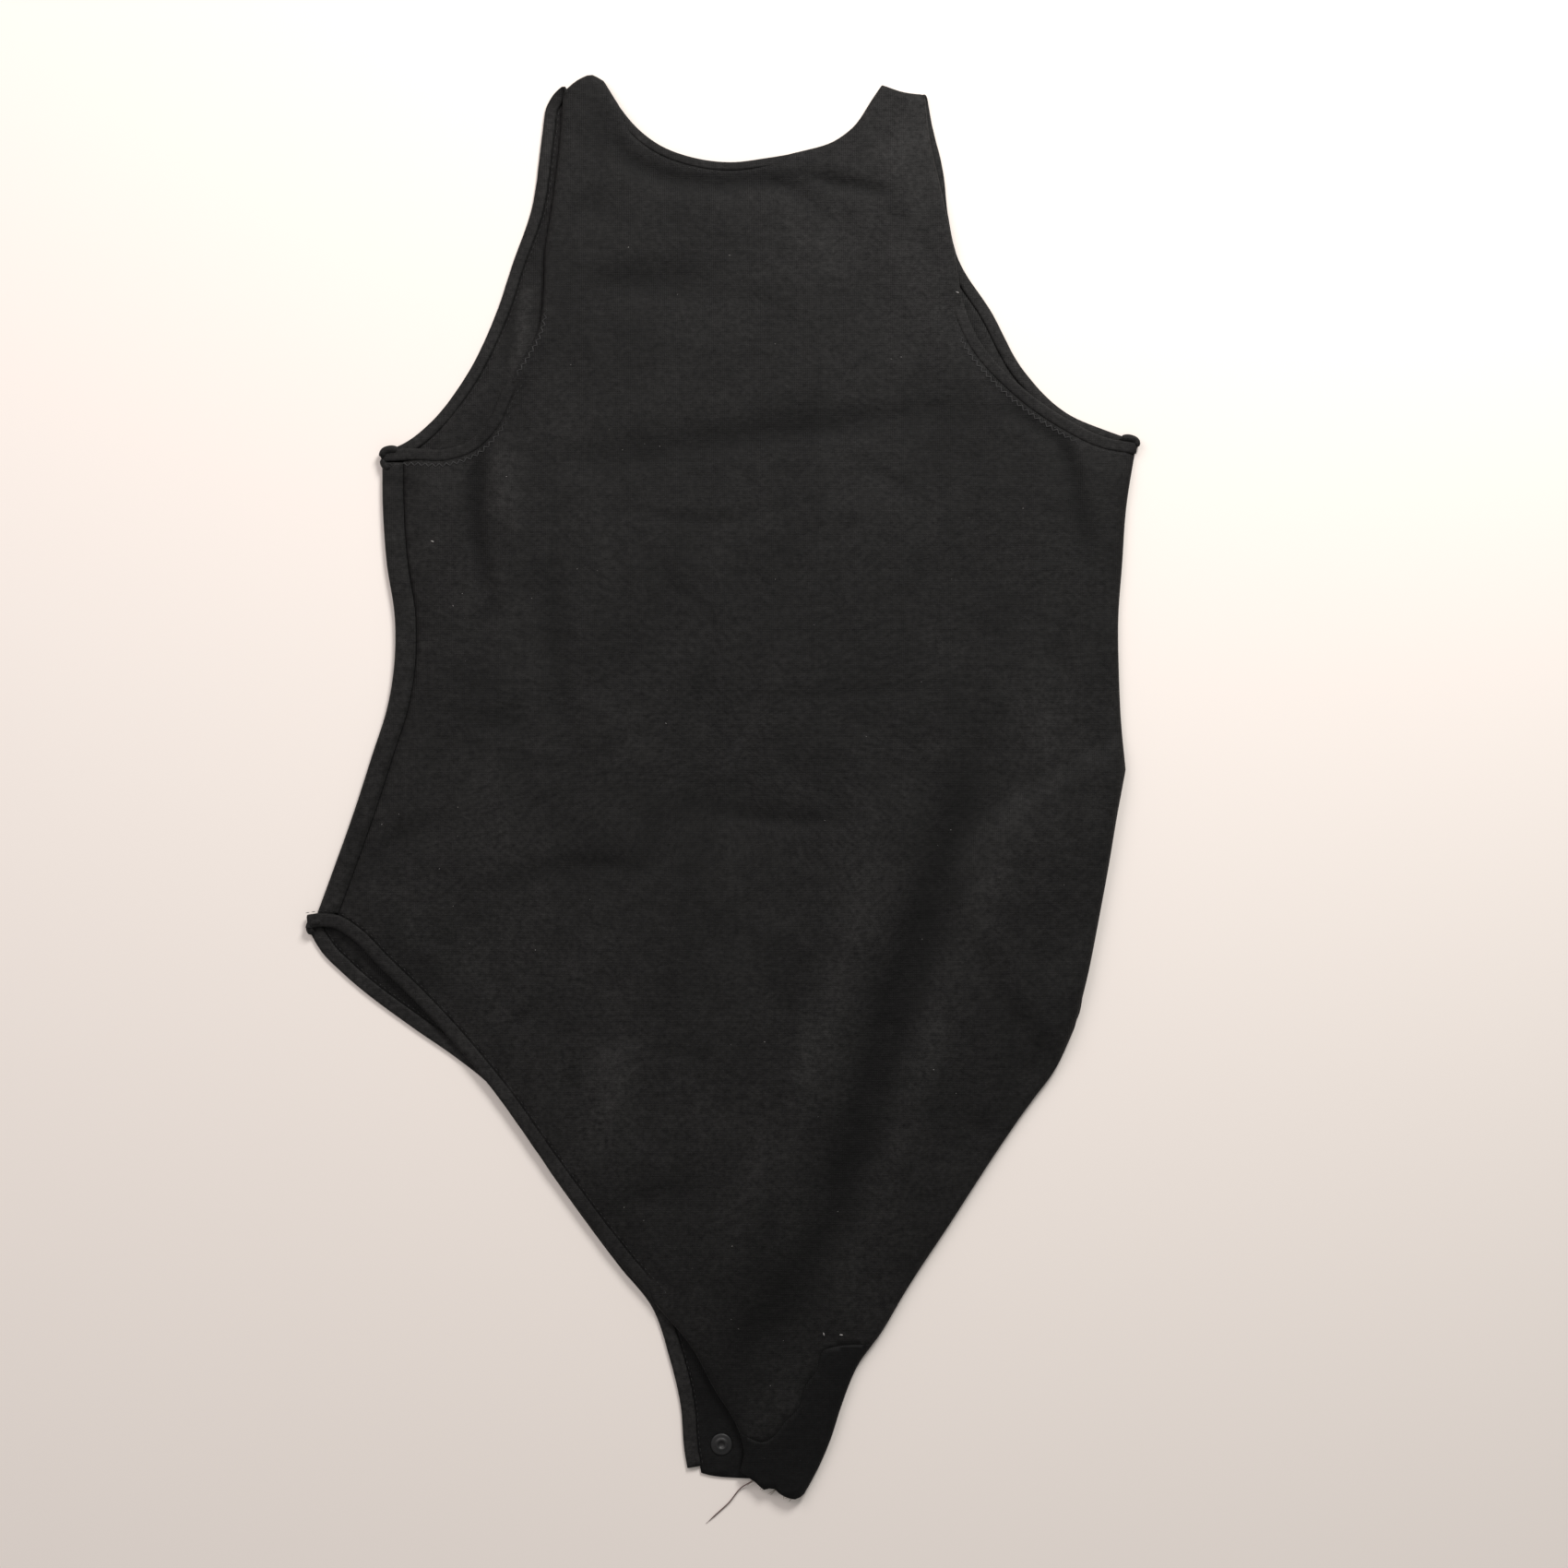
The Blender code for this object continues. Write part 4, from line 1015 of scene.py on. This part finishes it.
for name, front, back, width in (
    ("neck_band", neck_front, neck_back, NECK_BAND),
    ("armhole_band_right", armhole_right_front, armhole_right_back, ARM_BAND),
    ("armhole_band_left", armhole_left_front, armhole_left_back, ARM_BAND),
):
    upper, upper_side = strand(front, width, UPPER_BAND)
    lower, lower_side = strand(back, width, LOWER_BAND)
    strands = [(upper, upper_side), (lower[::-1], lower_side[::-1])]
    add_binding(name.replace("band", "binding"), name, strands, width, closed=True)
upper, upper_side = strand(leg_left_front, LEG_BAND, UPPER_BAND, trims=(BEND_TRIM, ROLL_INSET))
lower, lower_side = strand(leg_left_back, LEG_BAND, LOWER_BAND, trims=(BEND_TRIM, ROLL_INSET))
strands = [(upper[::-1], upper_side[::-1]), (lower, lower_side)]
add_binding("leg_binding_left", "leg_band_left", strands, LEG_BAND, closed=False)
rolled = strand(leg_right, LEG_BAND, LOWER_BAND, ROLLED_BAND_INSET, (BEND_TRIM, HIDDEN_BAND_END))
add_binding("leg_binding_right", "leg_band_right", [rolled], LEG_BAND, closed=False)

# The two layers folded under the right hip: one solid with a groove between them
HIP_LEVELS = (
    (0.05, 1.4), (0.15, 0.5), (0.55, 0.15), (1.0, 0.3), (HIP_THICK / 2, 1.6), (1.7, 0.3), (2.15, 0.15), (2.5, 0.5),
    (2.65, 1.4),
)
hip_rings = [
    placed(HIP_OUTLINE + HIP_NORMALS * inset, np.full(len(HIP_OUTLINE), height)) for height, inset in HIP_LEVELS
]
around = len(HIP_OUTLINE)
hip_faces = [tuple(range(around)), tuple(range((len(HIP_LEVELS) - 1) * around, len(HIP_LEVELS) * around))]
for level in range(len(HIP_LEVELS) - 1):
    for corner in range(around):
        here, after = level * around + corner, level * around + (corner + 1) % around
        hip_faces.append((here, after, after + around, here + around))
hip_layers = add_piece("hip_layers", np.vstack(hip_rings), hip_faces, cloth_look, "black_jersey")
paint_light(hip_layers, np.full(len(HIP_LEVELS) * around, 0.5))
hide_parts("hip_fold")

# Stitching beside the bindings, and overlocking over the cut edges
def beside(edge, inset):
    return (edge.points + edge.normals * inset)[edge.core]


def back_top(points):
    return back_height(points) + CLOTH / 2


def part_of(line, low, high):
    """The part of a line of the plan whose y is between two levels."""
    return line[(line[:, 1] > low) & (line[:, 1] < high)]


rows = []
for band, (edge, width) in FRONT_BANDS.items():
    rows += stitches(beside(edge, width - TUCK + STITCH_INSET), front_top, band)
rows += stitches(beside(armhole_left_back, ARM_BAND + 1.0), back_top)
rows += stitches(beside(leg_left_back, LEG_BAND + 1.0), back_top)
stitching = add_piece("stitching", *joined(rows), thread_look, "black_band")
overlocks = [
    overlock(part_of(beside(armhole_right_front, ARM_BAND + 2.0), 173, 236), front_top),
    overlock(part_of(beside(armhole_left_front, 1.6), 206, 246), front_top),
    overlock(part_of(beside(armhole_left_front, ARM_BAND + 2.0), 150, 190), front_top),
]
overlocking = add_piece("overlocking", *joined(overlocks), thread_look, "black_band")

seam_ends = add_piece(
    "seam_ends", *joined([tube(spline(end.path, 0.8), end.radius, around=12) for end in SEAM_ENDS]), band_look,
    "black_band",
)
paint_light(seam_ends, np.full(len(seam_ends.data.vertices), 0.55))

# The press stud on the back tab, as a turned ring with a socket
STUD = ((0.0, 0.25), (1.2, 0.3), (1.7, 0.9), (2.1, 1.25), (2.7, 1.3), (3.2, 0.85), (3.8, 0.62), (4.8, 0.66),
        (5.3, 0.45), (5.45, 0.15), (5.4, -0.2))
turns = 40
stud_points = [
    (SNAP_CENTRE[0] + radius * math.cos(2 * math.pi * turn / turns),
     SNAP_CENTRE[1] + radius * math.sin(2 * math.pi * turn / turns), 1.25 + height)
    for radius, height in STUD[1:] for turn in range(turns)
]
stud_points.append((*SNAP_CENTRE, 1.25 + STUD[0][1]))
stud_faces = [(len(stud_points) - 1, turn, (turn + 1) % turns) for turn in range(turns)]
for row in range(len(STUD) - 2):
    for turn in range(turns):
        here, after = row * turns + turn, row * turns + (turn + 1) % turns
        stud_faces.append((here, after, after + turns, here + turns))
stud_faces.append(tuple(range((len(STUD) - 2) * turns, (len(STUD) - 1) * turns)))
stud = add_piece("press_stud", np.array(stud_points), stud_faces, snap_look, "black_snap")
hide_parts("crotch_snap")

# The loose thread, the frayed ends of the front tab and lint
thread_path = spline(LOOSE_THREAD, 0.8)
thread = add_piece("loose_thread", *tube(thread_path, 0.3), loose_look, "black_band")
random = np.random.default_rng(11)
frays = []
for x, y in FRAY_ROOTS:
    for _ in range(4):
        lean, length = random.uniform(-1.1, 1.1), random.uniform(2.0, 5.0)
        t = np.linspace(0, 1, 7)
        path = np.column_stack([
            x + random.uniform(-1, 1) + lean * length * t**1.5,
            y + 1 - length * t,
            3.4 - 2.4 * t**2 + random.uniform(-0.2, 0.2),
        ])
        frays.append(tube(path, 0.13, around=4))
frayed_ends = add_piece("frayed_ends", *joined(frays), frayed_look, "black_band")

spots = [np.array(LINT_SPOTS)]
while sum(map(len, spots)) < LINT_COUNT:
    spot = random.uniform((-190, -320), (200, 350), (1, 2))
    if in_region(spot, front_cut, 5)[0]:
        spots.append(spot)
spots = np.vstack(spots)
heights = front_top(spots)
flecks = []
for index, ((x, y), z) in enumerate(zip(spots, heights)):
    size = 0.85 if index < len(LINT_SPOTS) else random.uniform(0.15, 0.35)
    turn = random.uniform(0, math.pi)
    reach = np.array((math.cos(turn), math.sin(turn), 0.0)) * size
    middle = np.array((x, y, z + 0.05))
    flecks.append(tube([middle - reach, middle - reach * 0.4, middle + reach * 0.4, middle + reach], size * 0.45))
lint = add_piece("lint", *joined(flecks), lint_look, "black_jersey")

# Floor, light and camera
floor_mesh = bpy.data.meshes.new("floor")
floor_mesh.from_pydata([(-4, -4, 0), (4, -4, 0), (4, 4, 0), (-4, 4, 0)], [], [(0, 1, 2, 3)])
floor = bpy.data.objects.new("floor", floor_mesh)
bpy.context.scene.collection.objects.link(floor)
floor_look = bpy.data.materials.new("pale_floor")
floor_look.use_nodes = True
floor_shader = floor_look.node_tree.nodes["Principled BSDF"]
floor_shader.inputs["Base Color"].default_value = (0.80, 0.742, 0.695, 1)
floor_shader.inputs["Roughness"].default_value = 0.9
floor_mesh.materials.append(floor_look)


def add_light(name, place, aim, size, power, colour):
    light = bpy.data.lights.new(name, "AREA")
    light.shape = "DISK"
    light.size = size
    light.energy = power
    light.color = colour
    made = bpy.data.objects.new(name, light)
    made.location = place
    made.rotation_euler = (Vector(aim) - Vector(place)).to_track_quat("-Z", "Y").to_euler()
    bpy.context.scene.collection.objects.link(made)


add_light("key", (0.50, 1.05, 0.85), (0.0, 0.15, 0), 0.5, 20, (1.0, 0.985, 0.965))
add_light("fill", (-1.0, 0.9, 1.2), (0, 0.1, 0), 1.2, 13, (1.0, 0.92, 0.92))
world = bpy.data.worlds.new("room")
world.use_nodes = True
world.node_tree.nodes["Background"].inputs["Color"].default_value = (1.0, 0.98, 0.96, 1)
world.node_tree.nodes["Background"].inputs["Strength"].default_value = 0.36
bpy.context.scene.world = world
bpy.context.scene.view_settings.view_transform = "Standard"

camera_data = bpy.data.cameras.new("photo_view")
camera_data.lens = LENS
camera_data.sensor_width = SENSOR
camera = bpy.data.objects.new("photo_view", camera_data)
distance = PHOTO_SIDE * LENS / SENSOR + FRONT_LEVEL
camera.location = (
    (PHOTO_MIDDLE[0] + SHIFT[0]) * MM, (PHOTO_MIDDLE[1] + SHIFT[1]) * MM, distance * MM
)
bpy.context.scene.collection.objects.link(camera)
bpy.context.scene.camera = camera
